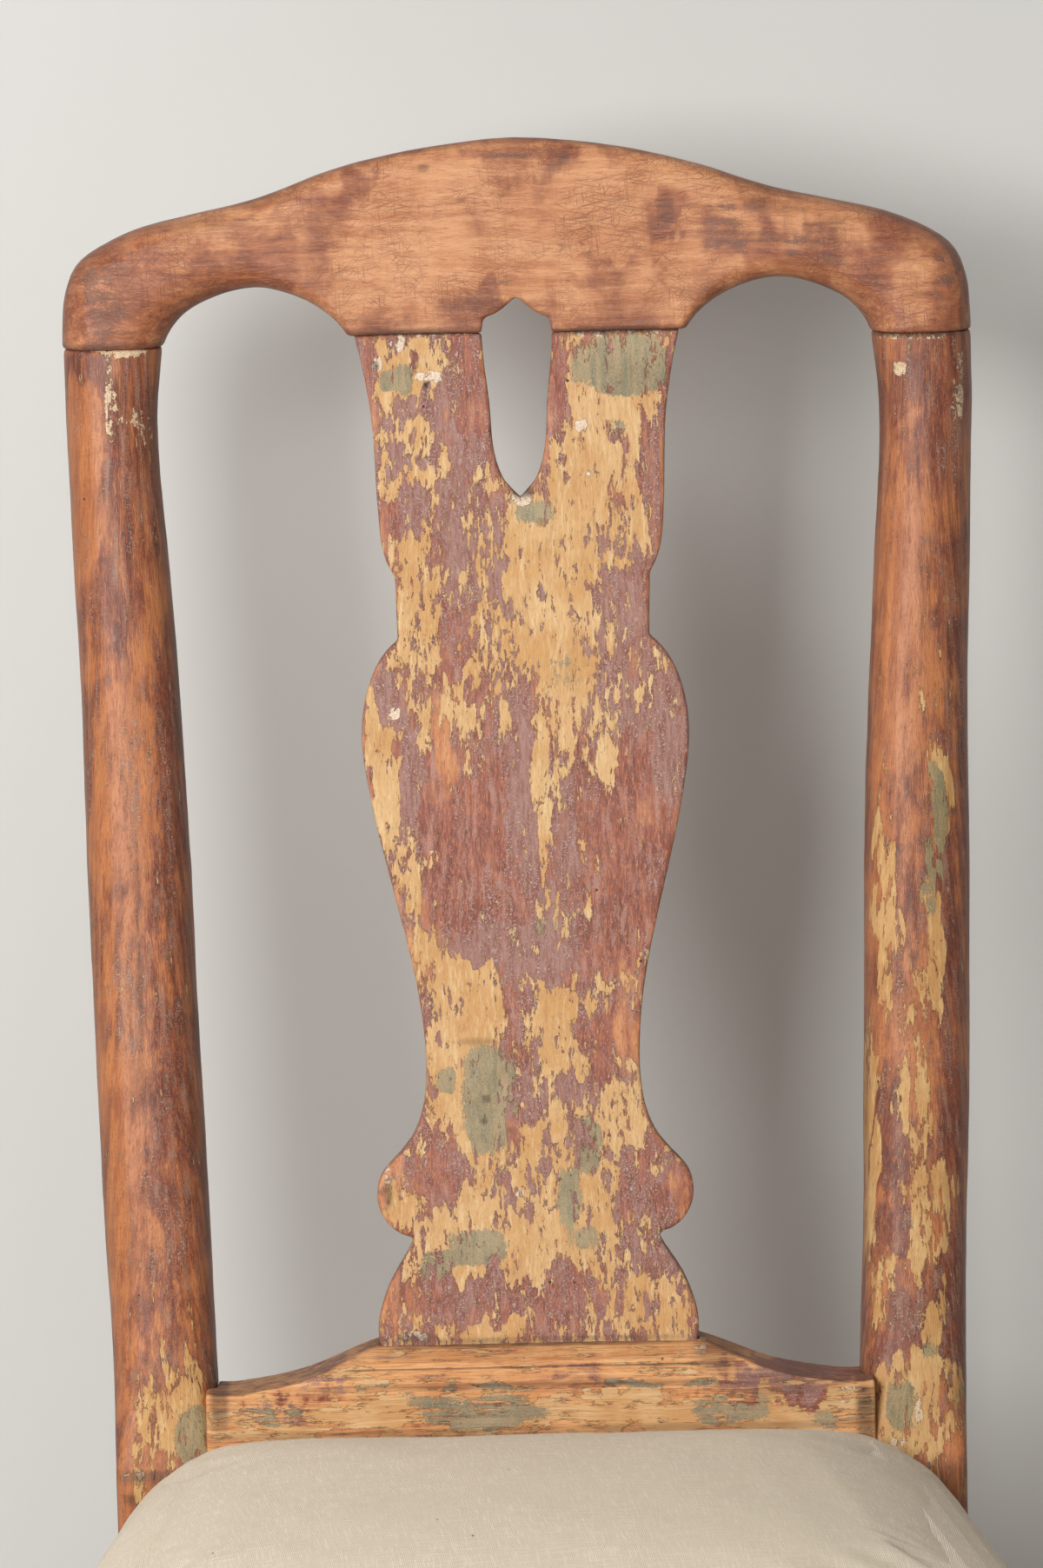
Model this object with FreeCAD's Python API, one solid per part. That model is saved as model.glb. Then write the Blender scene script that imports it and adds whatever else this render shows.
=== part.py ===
import FreeCAD, Part
import math
import os
from FreeCAD import Vector

# Side chair with a pierced vase splat, a hooped crest rail and a stuffed linen seat.
# Finished frame: +Z up, the front faces -Y, +X to the viewer's right, left pieces at -X.
# While it is drawn, Y is zero at the flat front faces of the rear posts at the seat.

# Driving dimensions of the whole chair, in millimetres
overall_height = 1071.7
crest_height = 97.4
splat_joint_rise = 3.8
shoe_height = 94.0
shoulder_half_width = 219.2
back_rake = 87.0
back_bow_share = 0.12
leg_kick = 60.0
leg_kick_power_share = 1.6
seat_depth = 430.0
seat_back_half_width = 202.6
seat_front_half_width = 253.6
rail_top_height = 404.0
rail_height = 56.0
rail_thickness = 26.0
rear_rail_thickness = 34.0
rear_rail_setback = 2.0

# Fits between pieces
joint_fit = 0.15
soft_fit = 0.3
cut_overrun = 6.0
flatness_share = 1e-9

# Chords in an eased corner, sides of what is turned or shaved, and steps between two stations
post_chord_count = 4
leg_chord_count = 3
seat_chord_count = 4
arris_chord_count = 2
turning_side_count = 20
peg_side_count = 8
post_step_count = 2
leg_step_count = 2
crest_step_count = 3

# Rear posts: square below the seat, round-fronted above it
post_block_rise = 33.0
post_block_drop = 2.0
post_block_depth = 42.0
post_top_depth = 30.0
post_foot_depth = 34.0
post_foot_taper = 10.5
post_foot_splay = 1.5
post_arris_radius = 4.0
post_round_radius = 21.0
post_back_radius = 5.0
post_height_shares = [0.0, 0.072, 0.147, 0.262, 0.377, 0.53, 0.685, 0.8, 0.878, 0.936, 0.973, 1.0]
post_outer_shares = [
    0.933, 0.9375, 0.943, 0.956, 0.9644, 0.974, 0.9795, 0.9877, 0.993, 0.999, 1.0, 1.0]
post_inner_shares = [
    0.7048, 0.708, 0.7153, 0.7258, 0.7354, 0.744, 0.76, 0.7783, 0.792, 0.7947, 0.7874, 0.7797]
post_round_shares = [0.19, 0.8, 1.0, 1.0, 1.0, 1.0, 1.0, 1.0, 1.0, 1.0, 0.98, 0.95]
leg_station_shares = [0.0, 0.2, 0.4, 0.6, 0.8, 1.0]

# Crest rail: pairs of points on its upper and lower edges, from the middle to the post joint,
# as shares of the shoulder half width and of the height above the post joint
crest_middle_depth = 24.0
crest_middle_setback = 4.0
crest_upper_radius = 9.0
crest_lower_radius = 5.0
crest_back_radius = 5.0
crest_joint_radius = 20.0
crest_upper_shares = [
    (0.0, 1.0), (0.183, 0.967), (0.303, 0.916), (0.381, 0.873), (0.436, 0.837), (0.505, 0.782),
    (0.578, 0.73), (0.688, 0.675), (0.8165, 0.603), (0.917, 0.503), (0.9725, 0.4035),
    (0.9954, 0.264), (1.0, 0.13), (1.0, 0.0)]
crest_lower_shares = [
    (0.0, -0.126), (0.183, -0.126), (0.303, -0.106), (0.3555, -0.008), (0.3945, 0.115),
    (0.462, 0.2256), (0.55, 0.2885), (0.619, 0.279), (0.6835, 0.231), (0.7317, 0.17),
    (0.759, 0.108), (0.7743, 0.052), (0.779, 0.018), (0.7797, 0.0)]
crest_round_shares = [0.0, 0.0, 0.02, 0.08, 0.16, 0.28, 0.42, 0.56, 0.7, 0.82, 0.9, 0.95, 0.98, 1.0]

# Tenons on the post tops
post_tenon_width = 20.0
post_tenon_thickness = 12.0
post_tenon_height = 24.0
post_tenon_setback = 9.0

# Splat: half outline as shares of its half width and of its visible height
splat_half_width = 78.6
splat_thickness = 10.0
splat_setback = 5.2
splat_foot_depth = 10.0
splat_tongue_thickness = 6.0
splat_tongue_setback = 3.0
splat_tongue_height = 14.0
splat_tongue_start = 24.0
splat_tongue_end = 66.0
splat_neck_shares = [
    (0.994, 1.0), (0.945, 0.964), (0.904, 0.92), (0.885, 0.856), (0.871, 0.812), (0.845, 0.782),
    (0.78, 0.759)]
splat_notch_share = (0.769, 0.695)
splat_vase_shares = [
    (0.769, 0.695), (0.86, 0.681), (0.95, 0.653), (1.0, 0.614), (0.975, 0.553), (0.861, 0.466),
    (0.735, 0.381), (0.66, 0.3), (0.662, 0.25), (0.727, 0.209), (0.83, 0.186), (0.935, 0.167),
    (0.97, 0.146), (0.925, 0.122), (0.84, 0.109), (0.745, 0.104)]
splat_base_shares = [
    (0.745, 0.104), (0.79, 0.089), (0.87, 0.069), (0.945, 0.042), (0.98, 0.017), (0.972, 0.0)]

# Slot through the splat and the lower edge of the crest rail
slot_half_width = 17.0
slot_splat_height = 79.0
slot_crest_height = 17.3
slot_splat_shares = [(1.0, 1.0), (0.93, 0.78), (0.82, 0.57), (0.7, 0.27), (0.42, 0.1), (0.0, 0.0)]
slot_crest_shares = [(1.0, 0.0), (0.935, 0.445), (0.7, 0.5), (0.27, 0.78), (0.0, 1.0)]

# Shoe rail under the splat: height marks run up from the seat rails
shoe_front_setback = 0.2
shoe_back_depth = 36.0
shoe_moulding_height = 20.5
shoe_groove_height = 1.6
shoe_groove_depth = 2.0
shoe_cove_height = 9.5
shoe_cove_depth = 5.5
shoe_bead_radius = 1.0
shoe_rebate_height = 4.0
shoe_rebate_depth = 18.0
shoe_sweep_height = 20.0
shoe_sweep_shares = [(0.0, 1.0), (0.12, 0.82), (0.4, 0.34), (0.68, 0.08), (0.9, 0.0), (1.0, 0.06)]
dowel_radius = 4.0
dowel_half_length = 18.0
dowel_place_share = 0.72

# Seat frame joints
rail_tenon_thickness = 10.0
rail_tenon_length = 20.0
leg_tenon_length = 18.0
rail_tenon_shoulder = 8.0
peg_radius = 3.5
peg_height_shares = [0.33, 0.67]
peg_point_inset = 4.0
corner_block_reach = 56.0
corner_block_height = 44.0
corner_block_drop = 6.0

# Front legs: offset along the outward diagonal and girth, from the rail down to the pad foot
leg_block_size = 46.0
leg_block_corner = 12.0
leg_block_arris = 2.0
leg_diagonal_throw = 10.0
leg_girth = 46.0
cabriole_height_shares = [1.0, 0.95, 0.86, 0.74, 0.6, 0.46, 0.32, 0.2, 0.12, 0.055]
cabriole_throw_shares = [0.0, 0.62, 1.0, 0.66, 0.05, -0.5, -0.8, -0.6, -0.1, 0.3]
cabriole_girth_shares = [1.0, 1.07, 1.05, 0.93, 0.79, 0.68, 0.6, 0.58, 0.6, 0.66]
cabriole_round_shares = [0.1, 0.25, 0.38, 0.5, 0.62, 0.74, 0.84, 0.88, 0.9, 0.9]
foot_radius = 31.0
foot_height = 26.0
foot_throw = 6.0
foot_profile_shares = [(0.78, 0.0), (0.93, 0.22), (1.0, 0.46), (0.93, 0.7), (0.74, 0.88), (0.5, 1.0)]
bracket_length = 40.0
bracket_height = 34.0
bracket_thickness = 22.0
bracket_setback = 2.0
bracket_hollow_share = 0.36

# Turned stretchers
stretcher_height = 132.0
rear_stretcher_height = 168.0
stretcher_radius = 14.0
stretcher_tenon_radius = 7.0
stretcher_tenon_length = 16.0
stretcher_block_size = 30.0
stretcher_block_length = 52.0
cross_stretcher_share = 0.5
stretcher_swell_shares = [
    (0.0, 0.62), (0.14, 0.72), (0.32, 0.88), (0.52, 0.98), (0.7, 1.0), (0.86, 0.95), (1.0, 0.86)]

# Upholstery
webbing_width = 50.0
webbing_thickness = 1.2
webbing_edge_inset = 9.0
webbing_long_shares = [-0.66, -0.33, 0.0, 0.33, 0.66]
webbing_cross_shares = [0.2, 0.4, 0.6, 0.8]
hessian_thickness = 0.8
hessian_edge_inset = 6.0
cover_thickness = 1.6
cover_lap = 1.9
seat_roll_start = 3.0
seat_roll_width = 50.0
seat_roll_height = 50.0
seat_rear_roll = 9.0
seat_crown_rise = 20.0
seat_crown_reach_share = 0.8
seat_rear_corner = 6.0
seat_corner_growth_share = 0.75
seat_roll_shares = [
    (0.0, 0.0), (0.05, 0.13), (0.13, 0.28), (0.27, 0.48), (0.47, 0.69), (0.72, 0.86), (1.0, 1.0)]
seat_crown_shares = [(0.25, 0.44), (0.5, 0.75), (0.75, 0.93), (1.0, 1.0)]

# Sizes worked out from the driving dimensions
crest_joint_height = overall_height - crest_height
splat_joint_height = crest_joint_height + splat_joint_rise
splat_foot_height = rail_top_height + shoe_height
post_top_height = crest_joint_height
rail_bottom_height = rail_top_height - rail_height
post_block_top = rail_top_height + post_block_rise
post_block_bottom = rail_bottom_height - post_block_drop
back_height = overall_height - post_block_top
splat_height = splat_joint_height - splat_foot_height
seat_flare = (seat_front_half_width - seat_back_half_width) / seat_depth
post_block_inner = shoulder_half_width * post_inner_shares[0]
post_block_outer = shoulder_half_width * post_outer_shares[0]
leg_inner = seat_front_half_width - leg_block_size
leg_back = -seat_depth + leg_block_size
layer_top = rail_top_height + 2 * webbing_thickness + hessian_thickness
front_reach = seat_depth - leg_block_size / 2 + foot_throw / math.sqrt(2) + foot_radius
back_reach = back_rake + crest_middle_setback + crest_middle_depth
frame_shift = (front_reach - back_reach) / 2


def back_line(height):
    # Front line of the posts above the seat, raked and gently bowed
    share = max(0.0, (height - post_block_top) / back_height)
    return back_rake * (share + back_bow_share * math.sin(math.pi * min(share, 1.0)))


def leg_line(height):
    # Front line of the rear leg below the seat, kicked back towards the floor
    share = max(0.0, 1 - height / post_block_bottom)
    return leg_kick * share ** leg_kick_power_share


def rail_outer(depth):
    # Outer face of the side rail at a distance forward of the posts
    return seat_back_half_width + seat_flare * depth


def mirrored(shape):
    return shape.mirror(Vector(0, 0, 0), Vector(1, 0, 0))


def box(low, high):
    size = high - low
    return Part.makeBox(size.x, size.y, size.z, low)


def prism(points, height):
    # Upright prism on a flat outline of points at one level
    outline = Part.makePolygon(points + [points[0]])
    return Part.Face(outline).extrude(Vector(0, 0, height))


def cylinder(start, end, radius):
    axis = end - start
    return Part.makeCylinder(radius, axis.Length, start, axis)


def ring(centre, spoke, axis, count):
    # Flat loop of even sides: the spoke runs from the centre to its first corner
    turns = [FreeCAD.Rotation(axis, 360 * index / count) for index in range(count)]
    points = [centre + turn.multVec(spoke) for turn in turns]
    return Part.makePolygon(points + [points[0]])


def peg(start, end, radius):
    # Peg shaved to eight sides, and the hole that takes its shape
    axis = end - start
    side = axis.cross(Vector(1, 1, 1))
    side.normalize()
    return Part.Face(ring(start, side * radius, axis, peg_side_count)).extrude(axis)


def turning(stations, axis):
    # Turned form about an axis through zero, from pairs of distance along it and radius
    spoke = Vector(0, 1, 0)
    rings = [ring(axis * place, spoke * radius, axis, turning_side_count) for place, radius in stations]
    return faceted_loft(rings)


def eased_rows(rows, steps):
    # Rows of shares with more between them, on smooth curves through every row
    eased = []
    for index in range(len(rows) - 1):
        before = rows[max(index - 1, 0)]
        after = rows[min(index + 2, len(rows) - 1)]
        for step in range(steps):
            part = step / steps
            row = []
            for p, q, r, s in zip(before, rows[index], rows[index + 1], after):
                leaving = (r - p) / 2
                arriving = (s - q) / 2
                bend = 3 * (r - q) - 2 * leaving - arriving
                twist = leaving + arriving - 2 * (r - q)
                row.append(q + part * (leaving + part * (bend + part * twist)))
            eased.append(row)
    return eased + [list(rows[-1])]


def flat_parts(corners):
    # Four corners in one plane stay one facet, others make two
    side = corners[2] - corners[0]
    normal = side.cross(corners[1] - corners[0])
    normal.normalize()
    if abs(normal.dot(corners[3] - corners[0])) < side.Length * flatness_share:
        return [corners]
    return [corners[:3], [corners[0], corners[2], corners[3]]]


def faceted_loft(sections):
    # Solid with flat facets from each outline to the next, all with the same count of corners
    loops = [[vertex.Point for vertex in section.OrderedVertexes] for section in sections]
    facets = []
    for near, far in zip(loops, loops[1:]):
        for index in range(len(near)):
            facets += flat_parts([near[index - 1], near[index], far[index], far[index - 1]])
    faces = [Part.Face(Part.makePolygon(corners + [corners[0]])) for corners in facets]
    shell = Part.makeShell([Part.Face(sections[0]), Part.Face(sections[-1])] + faces)
    shell.sewShape()
    solid = Part.makeSolid(shell)
    if solid.Volume < 0:
        solid.reverse()
    return solid


def curve(points):
    # Straight edge through two points, smooth edge through more
    if len(points) == 2:
        return Part.LineSegment(points[0], points[1]).toShape()
    spline = Part.BSplineCurve()
    spline.interpolate(points)
    return spline.toShape()


def rounded_loop(points, radii, chords):
    # Closed flat outline through the points in turn, each corner eased by its own chords
    loop = []
    for index, point in enumerate(points):
        before = points[index - 1] - point
        after = points[(index + 1) % len(points)] - point
        corner = before.getAngle(after)
        before.normalize()
        after.normalize()
        bisector = before + after
        bisector.normalize()
        radius = radii[index]
        centre = point + bisector * (radius / math.sin(corner / 2))
        run = radius / math.tan(corner / 2)
        first = point + before * run - centre
        last = point + after * run - centre
        turn = math.pi - corner
        count = chords[index]
        for step in range(count + 1):
            start_part = math.sin(turn * (1 - step / count)) / math.sin(turn)
            end_part = math.sin(turn * step / count) / math.sin(turn)
            loop.append(centre + first * start_part + last * end_part)
    return Part.makePolygon(loop + [loop[0]])


def rounded_section(origin, across, width, depth, radii, chords):
    # Rounded rectangle: origin at its front inner corner, across runs to the outer corner
    # and the depth runs back square to it; radii are front inner, front outer and back,
    # and chords are those of a front corner and of a back one
    along = Vector(across)
    along.normalize()
    back = Vector(0, 1, 0) - along * along.y
    back.normalize()
    inner_radius, outer_radius, back_radius = radii
    inner = origin + along * width
    corners = [origin, inner, inner + back * depth, origin + back * depth]
    front_chords, back_chords = chords
    counts = [front_chords, front_chords, back_chords, back_chords]
    return rounded_loop(corners, [inner_radius, outer_radius, back_radius, back_radius], counts)


def post_section(share, inner_share, outer_share, round_share):
    height = post_block_top + (post_top_height - post_block_top) * share
    inner = shoulder_half_width * inner_share
    outer = shoulder_half_width * outer_share
    depth = post_block_depth + (post_top_depth - post_block_depth) * share
    radius = max(post_arris_radius, post_round_radius * round_share)
    origin = Vector(inner, back_line(height), height)
    across = Vector(outer - inner, 0, 0)
    radii = (radius, radius, post_back_radius)
    chords = (post_chord_count, arris_chord_count)
    return rounded_section(origin, across, outer - inner, depth, radii, chords)


def leg_section(share):
    height = post_block_bottom * share
    inner = post_block_inner + post_foot_taper * (1 - share)
    outer = post_block_outer - post_foot_splay * (1 - share)
    depth = post_foot_depth + (post_block_depth - post_foot_depth) * share
    origin = Vector(inner, leg_line(height), height)
    radii = (post_arris_radius, post_arris_radius, post_arris_radius)
    chords = (arris_chord_count, arris_chord_count)
    return rounded_section(origin, Vector(outer - inner, 0, 0), outer - inner, depth, radii, chords)


def post_blank():
    rows = list(zip(post_height_shares, post_inner_shares, post_outer_shares, post_round_shares))
    upper = faceted_loft([post_section(*row) for row in eased_rows(rows, post_step_count)])
    width = post_block_outer - post_block_inner
    radii = (post_arris_radius, post_arris_radius, post_arris_radius)
    outline = rounded_section(
        Vector(post_block_inner, 0, post_block_bottom), Vector(width, 0, 0), width, post_block_depth,
        radii, (arris_chord_count, arris_chord_count))
    block = Part.Face(outline).extrude(Vector(0, 0, post_block_top - post_block_bottom))
    lower = faceted_loft([leg_section(share) for share in leg_station_shares])
    return upper.fuse([block, lower])


def post_tenon(slack):
    middle = shoulder_half_width * (post_inner_shares[-1] + post_outer_shares[-1]) / 2
    front = back_line(crest_joint_height) + post_tenon_setback
    low = Vector(middle - post_tenon_width / 2 - slack, front - slack, post_top_height - slack)
    high = Vector(
        middle + post_tenon_width / 2 + slack, front + post_tenon_thickness + slack,
        post_top_height + post_tenon_height + slack)
    return box(low, high)


def side_rail_tenon(slack):
    # Tenon of the right side rail into the rear post
    middle = (rail_outer(0) + rail_outer(0) - rail_thickness) / 2
    half = rail_tenon_thickness / 2 + slack
    low = Vector(middle - half, -slack, rail_bottom_height + rail_tenon_shoulder - slack)
    high = Vector(middle + half, rail_tenon_length + slack, rail_top_height - rail_tenon_shoulder + slack)
    return box(low, high)


def rear_rail_tenon(slack):
    middle = rear_rail_setback + rear_rail_thickness / 2 + rail_tenon_thickness / 2
    half = rail_tenon_thickness / 2 + slack
    low = Vector(post_block_inner - slack, middle - half, rail_bottom_height + rail_tenon_shoulder - slack)
    high = Vector(
        post_block_inner + rail_tenon_length + slack, middle + half,
        rail_top_height - rail_tenon_shoulder + slack)
    return box(low, high)


def leg_rail_tenon(slack):
    # Tenon of the right side rail into the front leg
    middle = rail_outer(seat_depth - leg_block_size) - rail_thickness / 2
    half = rail_tenon_thickness / 2 + slack
    low = Vector(
        middle - half, leg_back - leg_tenon_length - slack,
        rail_bottom_height + rail_tenon_shoulder - slack)
    high = Vector(middle + half, leg_back + slack, rail_top_height - rail_tenon_shoulder + slack)
    return box(low, high)


def front_rail_tenon(slack):
    middle = -seat_depth + rail_thickness / 2
    half = rail_tenon_thickness / 2 + slack
    low = Vector(leg_inner - slack, middle - half, rail_bottom_height + rail_tenon_shoulder - slack)
    high = Vector(
        leg_inner + leg_tenon_length + slack, middle + half,
        rail_top_height - rail_tenon_shoulder + slack)
    return box(low, high)


def peg_lines():
    # Start and end of every peg on the right half of the frame
    lines = []
    side_middle = rail_tenon_length / 2
    rear_middle = post_block_inner + rail_tenon_length / 2
    rear_tenon_middle = rear_rail_setback + rear_rail_thickness / 2 + rail_tenon_thickness / 2
    side_tenon_inner = rail_outer(0) - rail_thickness / 2 - rail_tenon_thickness / 2
    leg_side_middle = leg_back - leg_tenon_length / 2
    leg_front_middle = leg_inner + leg_tenon_length / 2
    leg_side_inner = rail_outer(seat_depth - leg_block_size) - rail_thickness / 2 - rail_tenon_thickness / 2
    leg_outer = rail_outer(-leg_side_middle)
    for share in peg_height_shares:
        height = rail_bottom_height + rail_height * share
        lines.append((
            Vector(post_block_outer, side_middle, height),
            Vector(side_tenon_inner - peg_point_inset, side_middle, height)))
        lines.append((
            Vector(rear_middle, post_block_depth, height),
            Vector(rear_middle, rear_tenon_middle - rail_tenon_thickness / 2 - peg_point_inset, height)))
        lines.append((
            Vector(leg_outer, leg_side_middle, height),
            Vector(leg_side_inner - peg_point_inset, leg_side_middle, height)))
        lines.append((
            Vector(leg_front_middle, -seat_depth, height),
            Vector(leg_front_middle, -seat_depth + rail_thickness - peg_point_inset, height)))
    joint_middle = shoulder_half_width * (post_inner_shares[-1] + post_outer_shares[-1]) / 2
    height = crest_joint_height + post_tenon_height / 2
    front = back_line(crest_joint_height) + post_tenon_setback
    lines.append((
        Vector(joint_middle, back_line(height) + post_top_depth, height),
        Vector(joint_middle, front - peg_point_inset, height)))
    return lines


def peg_solids(slack):
    return [peg(start, end, peg_radius + slack) for start, end in peg_lines()]


def crest_blank():
    # Each row holds a point of the upper edge, the lower one across from it and the rounding
    right = [
        upper + lower + (share,)
        for upper, lower, share in zip(crest_upper_shares, crest_lower_shares, crest_round_shares)]
    left = [
        (-upper_x, upper_z, -lower_x, lower_z, share)
        for upper_x, upper_z, lower_x, lower_z, share in reversed(right[1:])]
    sections = []
    for upper_x, upper_z, lower_x, lower_z, share in eased_rows(left + right, crest_step_count):
        high = crest_joint_height + crest_height * upper_z
        low = crest_joint_height + crest_height * lower_z
        setback = crest_middle_setback * (1 - share)
        depth = crest_middle_depth + (post_top_depth - crest_middle_depth) * share
        upper_radius = crest_upper_radius + (crest_joint_radius - crest_upper_radius) * share
        lower_radius = crest_lower_radius + (crest_joint_radius - crest_lower_radius) * share
        start = Vector(shoulder_half_width * lower_x, back_line(low) + setback, low)
        end = Vector(shoulder_half_width * upper_x, back_line(high) + setback, high)
        sections.append(rounded_section(
            start, end - start, (end - start).Length, depth,
            (lower_radius, upper_radius, crest_back_radius), (post_chord_count, arris_chord_count)))
    return faceted_loft(sections)


def splat_point(share):
    return Vector(splat_half_width * share[0], 0, splat_foot_height + splat_height * share[1])


def flip(point):
    return Vector(-point.x, point.y, point.z)


def back_slab(front_setback, thickness, low, high, half_width):
    # Board that follows the rake and bow of the back between two heights
    steps = 8
    heights = [low + (high - low) * index / steps for index in range(steps + 1)]
    front = [Vector(-half_width, back_line(z) + front_setback, z) for z in heights]
    back = [Vector(-half_width, back_line(z) + front_setback + thickness, z) for z in heights]
    outline = [curve(front), curve([front[-1], back[-1]]), curve(back), curve([back[0], front[0]])]
    face = Part.Face(Part.Wire(Part.__sortEdges__(outline)))
    return face.extrude(Vector(2 * half_width, 0, 0))


def through_prism(outline_edges):
    # Outline in the XZ plane, drawn at Y zero, pushed through the whole back
    face = Part.Face(Part.Wire(Part.__sortEdges__(outline_edges)))
    reach = back_rake + post_block_depth
    face.translate(Vector(0, -cut_overrun, 0))
    return face.extrude(Vector(0, reach + 2 * cut_overrun, 0))


def slot_prism():
    right = [
        Vector(slot_half_width * x, 0, splat_joint_height - slot_splat_height * (1 - z))
        for x, z in slot_splat_shares]
    peak = [
        Vector(slot_half_width * x, 0, splat_joint_height + slot_crest_height * z)
        for x, z in slot_crest_shares]
    edges = [curve(right[:-1]), curve(right[-2:]), curve(peak[:2]), curve(peak[1:])]
    edges += [curve([flip(p) for p in right[:-1]]), curve([flip(p) for p in right[-2:]])]
    edges += [curve([flip(p) for p in peak[:2]]), curve([flip(p) for p in peak[1:]])]
    return through_prism(edges)


def splat_tongues(slack):
    low = splat_joint_height - slack
    high = splat_joint_height + splat_tongue_height + slack
    slab = back_slab(
        splat_setback + splat_tongue_setback - slack, splat_tongue_thickness + 2 * slack,
        low - cut_overrun, high, splat_half_width)
    deep = back_rake + post_block_depth
    right = box(Vector(splat_tongue_start - slack, 0, low), Vector(splat_tongue_end + slack, deep, high))
    return slab.common(right.fuse(mirrored(right)))


def back_splat():
    neck = [splat_point(share) for share in splat_neck_shares]
    notch = splat_point(splat_notch_share)
    vase = [splat_point(share) for share in splat_vase_shares]
    base = [splat_point(share) for share in splat_base_shares]
    foot = Vector(base[-1].x, 0, splat_foot_height - splat_foot_depth)
    half = [neck, [neck[-1], notch], vase, base, [base[-1], foot]]
    edges = [curve(points) for points in half]
    edges += [curve([flip(p) for p in points]) for points in half]
    edges += [curve([neck[0], flip(neck[0])]), curve([foot, flip(foot)])]
    slab = back_slab(
        splat_setback, splat_thickness, splat_foot_height - splat_foot_depth - cut_overrun,
        splat_joint_height + cut_overrun, 2 * splat_half_width)
    board = slab.common(through_prism(edges)).cut(slot_prism())
    tongues = splat_tongues(0).common(box(
        Vector(-splat_half_width, 0, splat_joint_height - cut_overrun),
        Vector(splat_half_width, back_rake + post_block_depth, overall_height)))
    return board.fuse(tongues)


def crest_rail():
    blank = crest_blank()
    deep = back_rake + post_block_depth
    middle_half = shoulder_half_width * crest_lower_shares[5][0]
    under = box(
        Vector(-middle_half, -cut_overrun, crest_joint_height - crest_height),
        Vector(middle_half, deep, splat_joint_height))
    rail = blank.cut([under, slot_prism(), splat_tongues(joint_fit)])
    tenon = post_tenon(joint_fit)
    pegs = peg_solids(joint_fit)[-1]
    return rail.cut([tenon, mirrored(tenon), pegs, mirrored(pegs)])


def shoe_profile():
    # Moulded end profile, drawn at the left end of the rail
    front = shoe_front_setback
    low = rail_top_height
    fascia = splat_foot_height - shoe_moulding_height
    groove = fascia + shoe_groove_height
    cove = groove + shoe_cove_height
    splat_front = back_line(splat_foot_height) + splat_setback
    cove_back = front + shoe_cove_depth
    bead = cove + 2 * shoe_bead_radius
    end = -post_block_inner - post_block_depth

    def at(y, z):
        return Vector(end, y, z)

    back = shoe_back_depth
    rebate = shoe_rebate_depth
    corners = [
        at(rebate, low), at(rebate, low + shoe_rebate_height), at(front, low + shoe_rebate_height),
        at(front, fascia), at(front + shoe_groove_depth, fascia + shoe_groove_height / 2),
        at(front + shoe_groove_depth / 4, groove)]
    edges = [curve(corners[index:index + 2]) for index in range(len(corners) - 1)]
    hollow = at(front + shoe_cove_depth / 4, groove + shoe_cove_height / 2)
    edges.append(Part.Arc(corners[-1], hollow, at(cove_back, cove)).toShape())
    edges.append(Part.Arc(
        at(cove_back, cove), at(cove_back - shoe_bead_radius, cove + shoe_bead_radius),
        at(cove_back, bead)).toShape())
    edges.append(curve([at(cove_back, bead), at(splat_front, splat_foot_height)]))
    edges.append(curve([at(splat_front, splat_foot_height), at(back, splat_foot_height)]))
    edges.append(curve([at(back, splat_foot_height), at(back, low)]))
    edges.append(curve([at(back, low), corners[0]]))
    return Part.Face(Part.Wire(Part.__sortEdges__(edges)))


def dowel_solids(slack):
    place = post_block_inner * dowel_place_share
    middle = (shoe_rebate_depth + shoe_back_depth) / 2
    solids = []
    for x in (-place, 0, place):
        low = Vector(x, middle, rail_top_height - dowel_half_length - slack)
        high = Vector(x, middle, rail_top_height + dowel_half_length + slack)
        solids.append(peg(low, high, dowel_radius + slack))
    return solids


def shoe_rail(posts):
    length = 2 * (post_block_inner + post_block_depth)
    bar = shoe_profile().extrude(Vector(length, 0, 0))
    start = splat_point(splat_base_shares[-1]).x
    run = post_block_inner + cut_overrun - start
    sweep = [
        Vector(start + run * x, 0, splat_foot_height - shoe_sweep_height * (1 - z))
        for x, z in shoe_sweep_shares]
    foot = Vector(sweep[-1].x, 0, rail_top_height)
    edges = [curve(sweep), curve([sweep[-1], foot]), curve([foot, flip(foot)])]
    edges += [curve([flip(foot), flip(sweep[-1])]), curve([flip(p) for p in sweep])]
    edges.append(curve([sweep[0], flip(sweep[0])]))
    rail = bar.common(through_prism(edges))
    slab = back_slab(
        splat_setback - joint_fit, splat_thickness + 2 * joint_fit,
        splat_foot_height - splat_foot_depth - joint_fit, splat_foot_height + cut_overrun,
        start + joint_fit)
    return rail.cut([slab] + dowel_solids(joint_fit) + posts)


def rear_seat_rail():
    low = Vector(-post_block_inner, rear_rail_setback, rail_bottom_height)
    high = Vector(post_block_inner, rear_rail_setback + rear_rail_thickness, rail_top_height)
    tenon = rear_rail_tenon(0)
    rail = box(low, high).fuse([tenon, mirrored(tenon)])
    holes = peg_solids(joint_fit)
    return rail.cut(holes + [mirrored(hole) for hole in holes] + dowel_solids(joint_fit))


def side_seat_rail():
    front = seat_depth - leg_block_size
    points = [
        Vector(rail_outer(0) - rail_thickness, 0, rail_bottom_height),
        Vector(rail_outer(0), 0, rail_bottom_height),
        Vector(rail_outer(front), -front, rail_bottom_height),
        Vector(rail_outer(front) - rail_thickness, -front, rail_bottom_height)]
    rail = prism(points, rail_height)
    return rail.fuse([side_rail_tenon(0), leg_rail_tenon(0)]).cut(peg_solids(joint_fit))


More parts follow.
